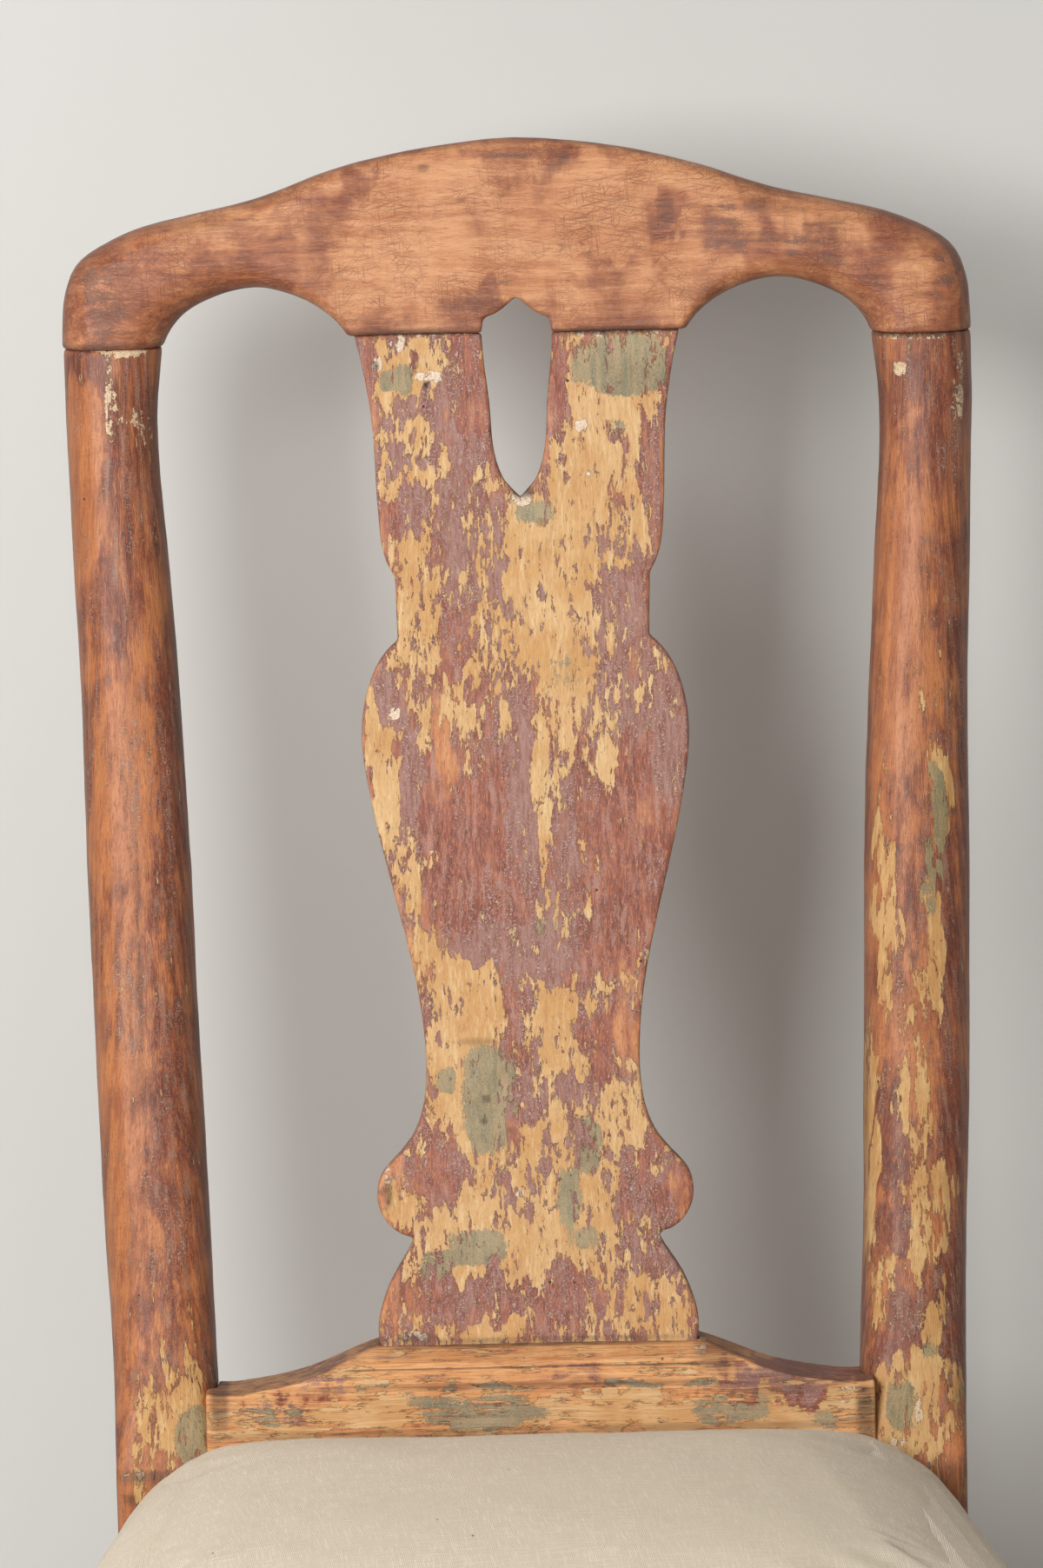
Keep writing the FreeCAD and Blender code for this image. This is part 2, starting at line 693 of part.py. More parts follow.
def front_seat_rail():
    low = Vector(-leg_inner, -seat_depth, rail_bottom_height)
    high = Vector(leg_inner, -seat_depth + rail_thickness, rail_top_height)
    tenon = front_rail_tenon(0)
    holes = peg_solids(joint_fit)
    rail = box(low, high).fuse([tenon, mirrored(tenon)])
    return rail.cut(holes + [mirrored(hole) for hole in holes])


def girth_section(height, throw, girth, round_share):
    # Rounded square of the cabriole, square to the seat, thrown out along the diagonal
    shift = throw / math.sqrt(2)
    centre_x = leg_inner + leg_block_size / 2 + shift
    centre_y = -seat_depth + leg_block_size / 2 - shift
    radius = round_share * girth / 2
    origin = Vector(centre_x - girth / 2, centre_y - girth / 2, height)
    radii = (radius, radius, radius)
    chords = (leg_chord_count, leg_chord_count)
    return rounded_section(origin, Vector(girth, 0, 0), girth, girth, radii, chords)


def front_leg_blank():
    rows = list(zip(
        cabriole_height_shares, cabriole_throw_shares, cabriole_girth_shares, cabriole_round_shares))
    shank = faceted_loft([
        girth_section(rail_bottom_height * height, leg_diagonal_throw * throw, leg_girth * girth, easing)
        for height, throw, girth, easing in eased_rows(rows, leg_step_count)])
    outline = [
        Vector(leg_inner, -seat_depth, rail_bottom_height),
        Vector(seat_front_half_width, -seat_depth, rail_bottom_height),
        Vector(rail_outer(seat_depth - leg_block_size), leg_back, rail_bottom_height),
        Vector(leg_inner, leg_back, rail_bottom_height)]
    eased = [leg_block_arris, leg_block_corner, leg_block_arris, leg_block_arris]
    chords = [leg_chord_count] * len(outline)
    block = Part.Face(rounded_loop(outline, eased, chords)).extrude(Vector(0, 0, rail_height))
    shift = foot_throw / math.sqrt(2)
    centre = Vector(leg_inner + leg_block_size / 2 + shift, -seat_depth + leg_block_size / 2 - shift, 0)
    foot = turning([(foot_height * z, foot_radius * r) for r, z in foot_profile_shares], Vector(0, 0, 1))
    foot.translate(centre)
    return shank.fuse([block, foot])


def turned_bar(start, end, blocks):
    # Turned stretcher between two points that swells from both ends towards its middle,
    # where a square block takes the stretcher that crosses over
    axis = end - start
    length = axis.Length
    clear = stretcher_block_length / 2 if blocks else 0
    half = length / 2 - clear
    radius = stretcher_radius

    near = turning([(half * x, radius * r) for x, r in stretcher_swell_shares], Vector(1, 0, 0))
    far = near.mirror(Vector(0, 0, 0), Vector(1, 0, 0))
    far.translate(Vector(length, 0, 0))
    tenon_start = Vector(-stretcher_tenon_length, 0, 0)
    tenon_end = Vector(length + stretcher_tenon_length, 0, 0)
    pieces = [far, cylinder(tenon_start, tenon_end, stretcher_tenon_radius)]
    if blocks:
        size = stretcher_block_size / 2
        pieces.append(box(Vector(half, -size, -size), Vector(length - half, size, size)))
    bar = near.fuse(pieces)
    turn = FreeCAD.Rotation(Vector(1, 0, 0), axis)
    bar.Placement = FreeCAD.Placement(start, turn)
    return bar


def tenon_bore(start, end):
    axis = end - start
    axis.normalize()
    reach = axis * (stretcher_tenon_length + joint_fit)
    return cylinder(start - reach, end + reach, stretcher_tenon_radius + joint_fit)


def side_stretcher_ends():
    share = stretcher_height / post_block_bottom
    rear_inner = post_block_inner + post_foot_taper * (1 - share)
    rear_outer = post_block_outer - post_foot_splay * (1 - share)
    rear = Vector((rear_inner + rear_outer) / 2, leg_line(stretcher_height), stretcher_height)
    leg_shift = leg_diagonal_throw * cabriole_throw_shares[6] / math.sqrt(2)
    girth = leg_girth * cabriole_girth_shares[6]
    front = Vector(
        leg_inner + leg_block_size / 2 + leg_shift,
        -seat_depth + leg_block_size / 2 - leg_shift + girth / 2, stretcher_height)
    return rear, front


def cross_stretcher_ends():
    rear, front = side_stretcher_ends()
    middle = rear + (front - rear) * cross_stretcher_share
    inner = middle.x - stretcher_block_size / 2
    return Vector(-inner, middle.y, middle.z), Vector(inner, middle.y, middle.z)


def rear_stretcher_ends():
    share = rear_stretcher_height / post_block_bottom
    inner = post_block_inner + post_foot_taper * (1 - share)
    depth = post_foot_depth + (post_block_depth - post_foot_depth) * share
    middle = leg_line(rear_stretcher_height) + depth / 2
    return Vector(-inner, middle, rear_stretcher_height), Vector(inner, middle, rear_stretcher_height)


def knee_bracket_front(leg):
    # Shaped block under the front rail, beside the right leg
    def at(x, z):
        return Vector(x, -seat_depth + bracket_setback, z)

    top = rail_bottom_height
    inner = leg_inner - bracket_length
    deep = leg_inner + cut_overrun
    hollow = at(
        leg_inner - bracket_length * bracket_hollow_share, top - bracket_height * bracket_hollow_share)
    edges = [
        curve([at(inner, top), at(deep, top)]), curve([at(deep, top), at(deep, top - bracket_height)]),
        curve([at(deep, top - bracket_height), at(leg_inner, top - bracket_height)]),
        Part.Arc(at(leg_inner, top - bracket_height), hollow, at(inner, top)).toShape()]
    block = Part.Face(Part.Wire(edges)).extrude(Vector(0, bracket_thickness, 0))
    return block.cut(leg)


def knee_bracket_side(leg):
    # Shaped block under the right side rail, behind the leg
    def at(y, z):
        return Vector(0, y, z)

    top = rail_bottom_height
    rear = leg_back + bracket_length
    deep = leg_back - cut_overrun
    hollow = at(
        leg_back + bracket_length * bracket_hollow_share, top - bracket_height * bracket_hollow_share)
    edges = [
        curve([at(rear, top), at(deep, top)]), curve([at(deep, top), at(deep, top - bracket_height)]),
        curve([at(deep, top - bracket_height), at(leg_back, top - bracket_height)]),
        Part.Arc(at(leg_back, top - bracket_height), hollow, at(rear, top)).toShape()]
    block = Part.Face(Part.Wire(edges)).extrude(Vector(bracket_thickness, 0, 0))
    turn = math.degrees(math.atan(seat_flare))
    block.rotate(Vector(0, leg_back, 0), Vector(0, 0, 1), turn)
    outer = rail_outer(seat_depth - leg_block_size) - bracket_setback
    block.translate(Vector(outer - bracket_thickness, 0, 0))
    return block.cut(leg)


def corner_block_front(leg):
    low = rail_top_height - corner_block_drop - corner_block_height
    inner_y = -seat_depth + rail_thickness
    depth = -inner_y
    rear = depth - corner_block_reach
    points = [
        Vector(leg_inner - corner_block_reach, inner_y, low),
        Vector(rail_outer(depth) - rail_thickness, inner_y, low),
        Vector(rail_outer(rear) - rail_thickness, -rear, low)]
    return prism(points, corner_block_height).cut(leg)


def corner_block_rear(post):
    low = rail_top_height - corner_block_drop - corner_block_height
    points = [
        Vector(post_block_inner - corner_block_reach, rear_rail_setback, low),
        Vector(rail_outer(0) - rail_thickness, rear_rail_setback, low),
        Vector(rail_outer(0) - rail_thickness, 0, low),
        Vector(rail_outer(corner_block_reach) - rail_thickness, -corner_block_reach, low)]
    return prism(points, corner_block_height).cut(post)


def webbing_long():
    strips = []
    front = -seat_depth + webbing_edge_inset
    back = shoe_rebate_depth - soft_fit
    for share in webbing_long_shares:
        back_x = share * (post_block_inner - webbing_width / 4)
        front_x = share * (leg_inner - webbing_width / 4)
        half = webbing_width / 2
        strips.append(prism([
            Vector(front_x - half, front, rail_top_height), Vector(front_x + half, front, rail_top_height),
            Vector(back_x + half, back, rail_top_height), Vector(back_x - half, back, rail_top_height)],
            webbing_thickness))
    return Part.makeCompound(strips)


def webbing_cross():
    strips = []
    level = rail_top_height + webbing_thickness
    for share in webbing_cross_shares:
        y = -seat_depth * share
        half = rail_outer(-y) - webbing_edge_inset
        strips.append(box(
            Vector(-half, y - webbing_width / 2, level),
            Vector(half, y + webbing_width / 2, level + webbing_thickness)))
    return Part.makeCompound(strips)


def seat_hessian():
    level = rail_top_height + 2 * webbing_thickness
    front = seat_depth - hessian_edge_inset
    front_half = rail_outer(front) - hessian_edge_inset
    back_half = rail_outer(0) - hessian_edge_inset
    tail_half = post_block_inner - soft_fit
    tail = shoe_rebate_depth - soft_fit
    right = [
        Vector(front_half, -front, level), Vector(back_half, -soft_fit, level),
        Vector(tail_half, -soft_fit, level), Vector(tail_half, tail, level)]
    left = [flip(point) for point in reversed(right)]
    return prism(right + left, hessian_thickness)


def pad_outline(height, inset, front_inset, rear_inset, growth):
    # Level outline of the seat, drawn in by its insets, with rounder corners higher up
    front = seat_depth + cover_lap - front_inset
    rear = soft_fit + rear_inset
    front_half = rail_outer(front) + cover_lap - inset
    rear_half = rail_outer(rear) + cover_lap - inset
    corners = [
        Vector(-front_half, -front, height), Vector(front_half, -front, height),
        Vector(rear_half, -rear, height), Vector(-rear_half, -rear, height)]
    front_radius = leg_block_corner + cover_lap + growth
    rear_radius = seat_rear_corner + growth * seat_rear_roll / seat_roll_width
    radii = [front_radius, front_radius, rear_radius, rear_radius]
    return rounded_loop(corners, radii, [seat_chord_count] * len(corners))


def pad(inward, base):
    # Seat form set in from the outside of the linen: upright sides, rolled edges and a crown
    start = rail_top_height + seat_roll_start
    sections = [pad_outline(base, inward, inward, inward, 0)]
    for x, z in seat_roll_shares:
        turn = z * math.pi / 2
        inset = seat_roll_width * x + inward * math.cos(turn)
        height = start + seat_roll_height * z - inward * math.sin(turn)
        rear = seat_rear_roll * x + inward * math.cos(turn)
        growth = seat_roll_width * x * seat_corner_growth_share
        sections.append(pad_outline(height, inset, inset, rear, growth))
    side_reach = (rail_outer(seat_depth / 2) - seat_roll_width) * seat_crown_reach_share
    for x, z in seat_crown_shares:
        height = start + seat_roll_height + seat_crown_rise * z - inward
        inset = seat_roll_width + side_reach * x
        front = seat_roll_width + (seat_depth / 2 - seat_roll_width) * seat_crown_reach_share * x
        rear = seat_rear_roll + (seat_depth / 2 - seat_rear_roll) * seat_crown_reach_share * x
        growth = seat_roll_width * seat_corner_growth_share * (1 - x * seat_crown_reach_share)
        sections.append(pad_outline(height, inset, front, rear, growth))
    return faceted_loft(sections)


def seat_cover():
    shell = pad(0, rail_bottom_height).cut(pad(cover_thickness, rail_bottom_height - cut_overrun))
    half = rail_outer(0) + cover_lap - cover_thickness
    tuck = box(
        Vector(-half, -cover_thickness - 2 * soft_fit, rail_bottom_height - cut_overrun),
        Vector(half, cut_overrun, layer_top + soft_fit))
    return shell.cut(tuck)


def seat_stuffing():
    filling = pad(cover_thickness + soft_fit, rail_bottom_height)
    reach = 2 * seat_front_half_width
    above = box(
        Vector(-reach, -2 * seat_depth, layer_top + soft_fit),
        Vector(reach, seat_depth, overall_height))
    return filling.common(above)


def save(name, shape):
    placed = shape.copy()
    placed.translate(Vector(0, frame_shift, 0))
    placed.exportStep(os.path.join("parts", name + ".step"))
    print(name, len(placed.Solids), "solid", round(placed.Volume), "mm3", placed.isValid())


def save_pair(name, shape):
    save(name + "_right", shape)
    save(name + "_left", mirrored(shape))


def build():
    os.makedirs("parts", exist_ok=True)
    post = post_blank()
    leg = front_leg_blank()
    holes = peg_solids(joint_fit)
    rear_end, front_end = side_stretcher_ends()
    cross_start, cross_end = cross_stretcher_ends()
    rear_start, rear_stop = rear_stretcher_ends()
    side_bore = tenon_bore(rear_end, front_end)
    rear_bore = tenon_bore(rear_start, rear_stop)
    cross_bore = tenon_bore(cross_start, cross_end)

    bored_post = post.fuse(post_tenon(0)).cut(
        holes + [side_rail_tenon(joint_fit), rear_rail_tenon(joint_fit), side_bore, rear_bore])
    save_pair("rear_post", bored_post)
    save("crest_rail", crest_rail())
    save("back_splat", back_splat())
    save("shoe_rail", shoe_rail([post, mirrored(post)]))
    save("rear_seat_rail", rear_seat_rail())
    save("front_seat_rail", front_seat_rail())
    save_pair("side_seat_rail", side_seat_rail())

    bored_leg = leg.cut(
        holes + [leg_rail_tenon(joint_fit), front_rail_tenon(joint_fit), side_bore])
    save_pair("front_leg", bored_leg)
    save_pair("knee_bracket_front", knee_bracket_front(leg))
    save_pair("knee_bracket_side", knee_bracket_side(leg))
    save_pair("corner_block_front", corner_block_front(leg))
    save_pair("corner_block_rear", corner_block_rear(post))

    side_stretcher = turned_bar(rear_end, front_end, True).cut([cross_bore, bored_post, bored_leg])
    save_pair("side_stretcher", side_stretcher)
    save("cross_stretcher", turned_bar(cross_start, cross_end, False))
    rear_stretcher = turned_bar(rear_start, rear_stop, False)
    save("rear_stretcher", rear_stretcher.cut([bored_post, mirrored(bored_post)]))

    pegs = peg_solids(0)
    save("joint_pegs", Part.makeCompound(pegs + [mirrored(peg) for peg in pegs]))
    save("shoe_dowels", Part.makeCompound(dowel_solids(0)))
    save("webbing_lengthwise", webbing_long())
    save("webbing_crosswise", webbing_cross())
    save("seat_hessian", seat_hessian())
    save("seat_stuffing", seat_stuffing())
    save("seat_cover", seat_cover())


build()
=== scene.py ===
# Side chair with old paint scraped down in layers and a stuffed linen seat.
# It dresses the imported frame: metres, +Z up, the chair's front towards -Y.
import math

import bmesh
import bpy
import numpy as np
from mathutils import Matrix, Vector, noise


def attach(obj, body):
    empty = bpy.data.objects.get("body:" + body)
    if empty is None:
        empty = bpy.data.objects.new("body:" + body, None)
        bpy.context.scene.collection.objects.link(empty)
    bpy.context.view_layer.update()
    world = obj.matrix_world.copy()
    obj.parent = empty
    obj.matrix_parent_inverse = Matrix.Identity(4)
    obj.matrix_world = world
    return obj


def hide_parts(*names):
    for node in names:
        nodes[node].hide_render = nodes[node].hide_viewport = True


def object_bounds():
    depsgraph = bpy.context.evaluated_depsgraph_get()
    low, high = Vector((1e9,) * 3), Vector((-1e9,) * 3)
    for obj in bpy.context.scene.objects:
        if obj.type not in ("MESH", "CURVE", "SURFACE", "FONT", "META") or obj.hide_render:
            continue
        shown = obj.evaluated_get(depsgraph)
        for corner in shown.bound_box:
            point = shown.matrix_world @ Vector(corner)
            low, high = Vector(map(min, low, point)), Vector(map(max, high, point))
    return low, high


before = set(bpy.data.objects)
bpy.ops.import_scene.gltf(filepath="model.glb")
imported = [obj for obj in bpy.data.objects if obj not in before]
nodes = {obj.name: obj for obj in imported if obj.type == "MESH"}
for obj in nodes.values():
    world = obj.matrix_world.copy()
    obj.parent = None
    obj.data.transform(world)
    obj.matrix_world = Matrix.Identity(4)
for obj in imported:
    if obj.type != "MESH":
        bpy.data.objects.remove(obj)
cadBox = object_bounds()
mm = 0.001
noise.seed_set(5)  # else the noise vectors change from run to run
print("frame loaded with", len(nodes), "nodes")


# Camera and the place of a picture point on the chair's raked back

view = {
    "place": (-0.0025, -3.4364, 1.277),
    "pitch": 8.0026,  # degrees down
    "lean": 1.27,  # degrees that the uprights lean to the left
    "lens": 176.208,
    "film": 36.0,
    "frame": (1200, 1804),
    "clip": 50,
    "pixel": 0.413 * mm,  # one picture point on the chair's back
}
back = {"foot": 0.437, "rise": 0.6347, "rake": 0.087, "bow": 0.12, "front": 0.16362}


def viewAxes():
    pitch, lean = math.radians(view["pitch"]), math.radians(view["lean"])
    forward = Vector((0, math.cos(pitch), -math.sin(pitch)))
    side = Vector((1, 0, 0))
    up = side.cross(forward)
    leanSide = side * math.cos(lean) - up * math.sin(lean)
    leanUp = up * math.cos(lean) + side * math.sin(lean)
    return leanSide, leanUp, forward


def backFront(height):
    # front face of the posts at a height
    share = max(0.0, (height - back["foot"]) / back["rise"])
    return back["front"] + back["rake"] * (share + back["bow"] * math.sin(math.pi * min(share, 1.0)))


def onBack(px, py):
    # where a point of the 1200 x 1804 frame falls on the chair's back
    side, up, forward = viewAxes()
    eye = Vector(view["place"])
    wide, tall = view["frame"]
    focal = view["lens"] / view["film"] * tall
    ray = forward + side * ((px - wide / 2) / focal) - up * ((py - tall / 2) / focal)
    far = (back["front"] - eye.y) / ray.y
    for _ in range(12):  # each pass closes in on the raked and bowed face
        far = (backFront(eye.z + ray.z * far) - eye.y) / ray.y
    point = eye + ray * far
    return point.x, point.z


def addCamera():
    side, up, forward = viewAxes()
    data = bpy.data.cameras.new("studioCamera")
    data.sensor_fit = "VERTICAL"
    data.sensor_height = view["film"]
    data.lens = view["lens"]
    data.clip_end = view["clip"]
    camera = bpy.data.objects.new("studioCamera", data)
    turn = Matrix((side, up, -forward)).transposed()
    camera.matrix_world = Matrix.Translation(view["place"]) @ turn.to_4x4()
    bpy.context.scene.collection.objects.link(camera)
    bpy.context.scene.camera = camera


addCamera()
print("camera placed")


# Node sums written as Python expressions

class Wire:
    def __init__(self, tree, socket=None):
        self.tree = tree
        self.socket = socket

    def node(self, kind, settings=None, inputs=None, output=0):
        made = self.tree.nodes.new(kind)
        for name, value in (settings or {}).items():
            setattr(made, name, value)
        for key, value in (inputs or {}).items():
            if isinstance(value, Wire):
                value.into(made.inputs[key])
            else:
                made.inputs[key].default_value = value
        return Wire(self.tree, made.outputs[output])

    def into(self, target):
        self.tree.links.new(self.socket, target)

    def sum(self, operation, first, second):
        return self.node("ShaderNodeMath", {"operation": operation}, {0: first, 1: second})

    def __add__(self, other):
        return self.sum("ADD", self, other)

    def __radd__(self, other):
        return self.sum("ADD", other, self)

    def __sub__(self, other):
        return self.sum("SUBTRACT", self, other)

    def __rsub__(self, other):
        return self.sum("SUBTRACT", other, self)

    def __mul__(self, other):
        return self.sum("MULTIPLY", self, other)

    def __rmul__(self, other):
        return self.sum("MULTIPLY", other, self)

    def most(self, other):
        return self.sum("MAXIMUM", self, other)

    def least(self, other):
        return self.sum("MINIMUM", self, other)

    def step(self, low, high):
        # smooth rise from 0 to 1 between two values
        return self.node("ShaderNodeMapRange", {"interpolation_type": "SMOOTHSTEP"},
                         {"Value": self, "From Min": low, "From Max": high})

    def mix(self, under, over):
        # colour over another, by this mask
        return self.node("ShaderNodeMix", {"data_type": "RGBA"}, {0: self, 6: under, 7: over}, 2)

    def stain(self, under, over, low, high, share):
        # colour over another where this field rises from low to high
        return (self.step(low, high) * share).mix(under, over)

    def vector(self, x, y, z=0.0):
        return self.node("ShaderNodeCombineXYZ", {}, {0: x, 1: y, 2: z})

    def part(self, axis):
        return self.node("ShaderNodeSeparateXYZ", {}, {0: self}, axis)

    def moved(self, shift):
        return self.node("ShaderNodeVectorMath", {"operation": "ADD"}, {0: self, 1: shift})

    def scaled(self, factors):
        return self.node("ShaderNodeVectorMath", {"operation": "MULTIPLY"}, {0: self, 1: factors})

    def turned(self, degrees, factors):
        angles = tuple(math.radians(d) for d in degrees)
        return self.node("ShaderNodeMapping", {"vector_type": "TEXTURE"},
                         {"Vector": self, "Rotation": angles}).scaled(factors)

    def cloud(self, size, detail=4.0, rough=0.6, spread=2.4, twist=0.0):
        # noise around 0.5 whose features are about size millimetres across
        raw = self.node("ShaderNodeTexNoise", {}, {
            "Vector": self, "Scale": 1.0 / size, "Detail": detail, "Roughness": rough, "Distortion": twist})
        return (raw - 0.5) * spread + 0.5

    def cells(self, size, distance="EUCLIDEAN", output=0):
        return self.node("ShaderNodeTexVoronoi", {"distance": distance},
                         {"Vector": self, "Scale": 1.0 / size}, output)

    def shaderMix(self, first, second):
        return self.node("ShaderNodeMixShader", {}, {0: self, 1: first, 2: second})


def blend(fields, shares):
    # sum of fields, each by its share
    total = fields[0] * shares[0]
    for field, share in zip(fields[1:], shares[1:]):
        total = total + field * share
    return total


def tone(red, green, blue):
    # linear colour from the values that a picture shows
    parts = [c / 255 for c in (red, green, blue)]
    return tuple(c / 12.92 if c <= 0.04045 else ((c + 0.055) / 1.055) ** 2.4 for c in parts) + (1.0,)


def startMaterial(name):
    material = bpy.data.materials.new(name)
    material.use_nodes = True
    tree = material.node_tree
    shader = tree.nodes["Principled BSDF"]
    wire = Wire(tree)
    place = wire.node("ShaderNodeTexCoord", output="Object").scaled((1 / mm,) * 3)  # in millimetres
    return material, shader, wire, place


def channel(wire, name):
    return wire.node("ShaderNodeAttribute", {"attribute_name": name}, output="Fac")


def finishMaterial(material, shader, colour, rough, height, depth=1.0):
    bump = rough.node("ShaderNodeBump", {}, {"Strength": 1.0, "Distance": depth * mm, "Height": height})
    colour.into(shader.inputs["Base Color"])
    rough.into(shader.inputs["Roughness"])
    bump.into(shader.inputs["Normal"])
    return material


# Old paint: bare wood, red-brown, mauve, ochre and grey-green, one over the other

# values of the painted channels on the faces behind, which are plainer
rearPaint = {
    "bareness": 0.5, "mauveness": 0.3, "ochreness": 0.2, "greenness": 0.0, "puttyness": -0.4, "sootAndShade": 0.0}
# the values of its field between which a coat comes to cover, and the bands of painted shadow and painted
# highlight along a flake's broken edge
covers = {
    "mauve": (0.85, 1.12), "ochre": (0.975, 1.025), "green": (0.94, 1.02), "putty": (0.97, 1.02),
    "rim": (0.9, 0.975), "flakeHighlight": (0.985, 1.0), "flakeHighlightEnd": (1.01, 1.05)}
# turn in degrees, width and length in millimetres of each set of scratches
scratchSets = ((-14, 0.5, 13), (11, 0.5, 16), (37, 0.45, 9), (-48, 0.45, 9), (86, 0.6, 12))


def paintScratches(place):
    scratches = None
    for turn, across, run in scratchSets:
        lines = place.turned((0, turn, 0), (1 / run, 1 / run, 1 / across)).cloud(1.0, 1.5, 0.5)
        mark = lines.step(0.66, 0.95)
        scratches = mark if scratches is None else scratches.most(mark * 0.9)
    patchy = place.cloud(26, 3, 0.6, 2.5).step(0.15, 0.8)
    return scratches * (patchy * 0.8 + 0.2)


def agedPaint(name, look):
    material, shader, wire, place = startMaterial(name)
    edge, away = channel(wire, "edge"), channel(wire, "away")
    bareness, mauveness, ochreness, greenness, puttyness, sootAndShade = (channel(wire, n) for n in rearPaint)
    worn = edge.most(0.0) * look["edgeWear"]

    grain = look["grain"]
    drift = place.cloud(60, 2, 0.5, 1.0) * 5.0  # the grain wanders a little
    drawn = place.moved(wire.vector(drift, 0.0, drift))
    long = drawn.scaled(grain)
    fine = drawn.scaled(tuple(g if g == 1 else g * 0.25 for g in grain))
    streak = fine.cloud(look["streak"], 4)
    threads = fine.cloud(1.5, 3)
    hair = fine.cloud(0.55, 2, 0.55)
    dust = place.cloud(0.8, 2)
    chips = long.cloud(1.5, 4, 0.7, 2.3)
    cloudy = place.cloud(look["cloud"], 5, 0.62, 2.4, 0.5)
    jagged = long.moved(wire.vector(chips * 1.2, 0.0, dust * 0.9))
    cells = wire.node("ShaderNodeSeparateColor", {}, {0: jagged.cells(look["cell"], "MANHATTAN", "Color")})

    wood = (streak * 0.6 + cloudy * 0.4).step(0.2, 0.8).mix(look["woodLight"], look["woodDark"])
    wood = hair.stain(wood, look["woodLine"], 0.55, 0.95, 0.6)
    wood = threads.stain(wood, look["woodPale"], 0.6, 1.0, 0.35)

    redField = blend((cloudy, streak, threads, hair), look["redMix"])
    redCover = (redField + 1 - bareness - worn).step(1 - look["redSoft"], 1 + look["redSoft"])
    redTone = (streak * 0.5 + cloudy * 0.5).step(0.25, 0.75).mix(look["red"], look["redDark"])
    hazy = fine.cloud(3.0, 3) * 0.6 + dust * 0.4
    redTone = hazy.stain(redTone, look["mauveHaze"], 0.45, 0.8, look["greying"])
    redTone = hair.stain(redTone, look["rust"], 0.5, 0.85, look["hair"])
    redTone = (1 - threads).stain(redTone, look["shade"], 0.6, 1.0, look["hair"])
    colour = redCover.mix(wood, redTone)

    loose = look["loose"]  # how far flaking follows chance more than the painted patches
    broad = long.cloud(look["flake"] * 1.6, 6, 0.62, 2.4, 0.3)
    mauveField = blend((broad, dust, streak, chips), look["mauveMix"])
    mauveField = (mauveField - 0.5) * loose + 0.5 + mauveness - worn
    mauveCover = mauveField.step(*covers["mauve"])
    specks = dust.step(0.5, 0.85) * (chips * 0.5 + streak * 0.5).step(0.25, 0.7)
    mauveTone = blend((streak, threads, dust), (0.4, 0.3, 0.3)).step(0.3, 0.7)
    mauveTone = mauveTone.mix(look["mauve"], look["mauveDark"])
    mauveTone = (specks * 0.75).mix(mauveTone, look["mauveHaze"])
    colour = (mauveCover * 0.9).mix(colour, mauveTone)

    flakes = long.cloud(look["flake"], 6, 0.68, 2.5, 0.4)
    ochreField = blend((flakes, cells, chips, streak), look["ochreMix"])
    ochreField = (ochreField - 0.5) * loose + 0.5 + ochreness - worn * 1.5
    ochreCover = ochreField.step(*covers["ochre"])
    rim = ochreField.step(*covers["rim"]) * (1 - ochreCover)  # painted shadow: a dark line under a flake's broken edge
    # painted highlight: a pale line just inside a flake's broken edge
    flakeHighlight = ochreField.step(*covers["flakeHighlight"]) * (1 - ochreField.step(*covers["flakeHighlightEnd"]))
    ochreTone = place.cloud(34, 4).step(0.2, 0.8).mix(look["ochre"], look["ochreDeep"])
    ochreTone = (streak * 0.5 + threads * 0.5).stain(ochreTone, look["ochrePale"], 0.5, 0.85, 0.7)
    ochreTone = hair.stain(ochreTone, look["ochreLine"], 0.55, 0.95, 0.5)
    ochreTone = (1 - streak * 0.5 - chips * 0.5).stain(ochreTone, look["ochreLine"], 0.5, 0.85, 0.45)
    # painted shadow along the broken edges of the ochre flakes
    colour = (rim * 0.35).mix(colour, look["shade"])
    # painted highlight on the ochre along the flake's edge
    colour = ochreCover.mix(colour, (flakeHighlight * 0.35).mix(ochreTone, look["ochrePale"]))

    film = place.cloud(16, 4, 0.6, 2.0)
    greenField = blend((film, cells, chips, dust), look["greenMix"]) + greenness
    greenCover = greenField.step(*covers["green"]) * ochreCover
    greenTone = blend((cloudy, dust, streak), (0.4, 0.3, 0.3)).step(0.25, 0.75)
    greenTone = greenTone.mix(look["green"], look["greenDark"])
    colour = (greenCover * (streak * 0.3 + dust * 0.2 + 0.5)).least(0.92).mix(colour, greenTone)

    puttyField = place.cloud(3.0, 5, 0.7, 1.7) * 0.7 + cells * 0.3 + puttyness
    puttyCover = puttyField.step(*covers["putty"])
    colour = puttyCover.mix(colour, dust.step(0.2, 0.8).mix(look["putty"], look["puttyGrey"]))

    chosen = place.cloud(40, 1, 0.5, 2.2).step(0.6, 0.7)
    holes = (1 - place.cells(15.0).step(0.035, 0.05)) * chosen * look["holes"]
    # painted shade with real dirt: hollows, grooves, joint and crust lines and small holes are darkened
    creviced = (0 - edge).step(0.15, 0.8) * look["crevice"]
    dirtAndShade = creviced.most(sootAndShade * (streak * 0.5 + chips * 0.4 + 0.35)).most(holes * 0.9).least(1.0)
    colour = dirtAndShade.mix(colour, look["dirtAndShade"])
    # painted shade with real grime: faces turned sideways, up or down are darkened, so rounded pieces go dark
    # at their sides
    grimeAndShade = away.step(0.2, 0.95) * look["grimeAndShade"] * (cloudy * 0.5 + chips * 0.2 + 0.55)
    colour = grimeAndShade.least(0.9).mix(colour, look["grimeAndShadeTone"])
    scratched = paintScratches(place) * look["scratch"]
    colour = (scratched * (1 - ochreCover * 0.8)).mix(colour, look["scratchTone"])
    colour = colour.scaled(look["warmth"])

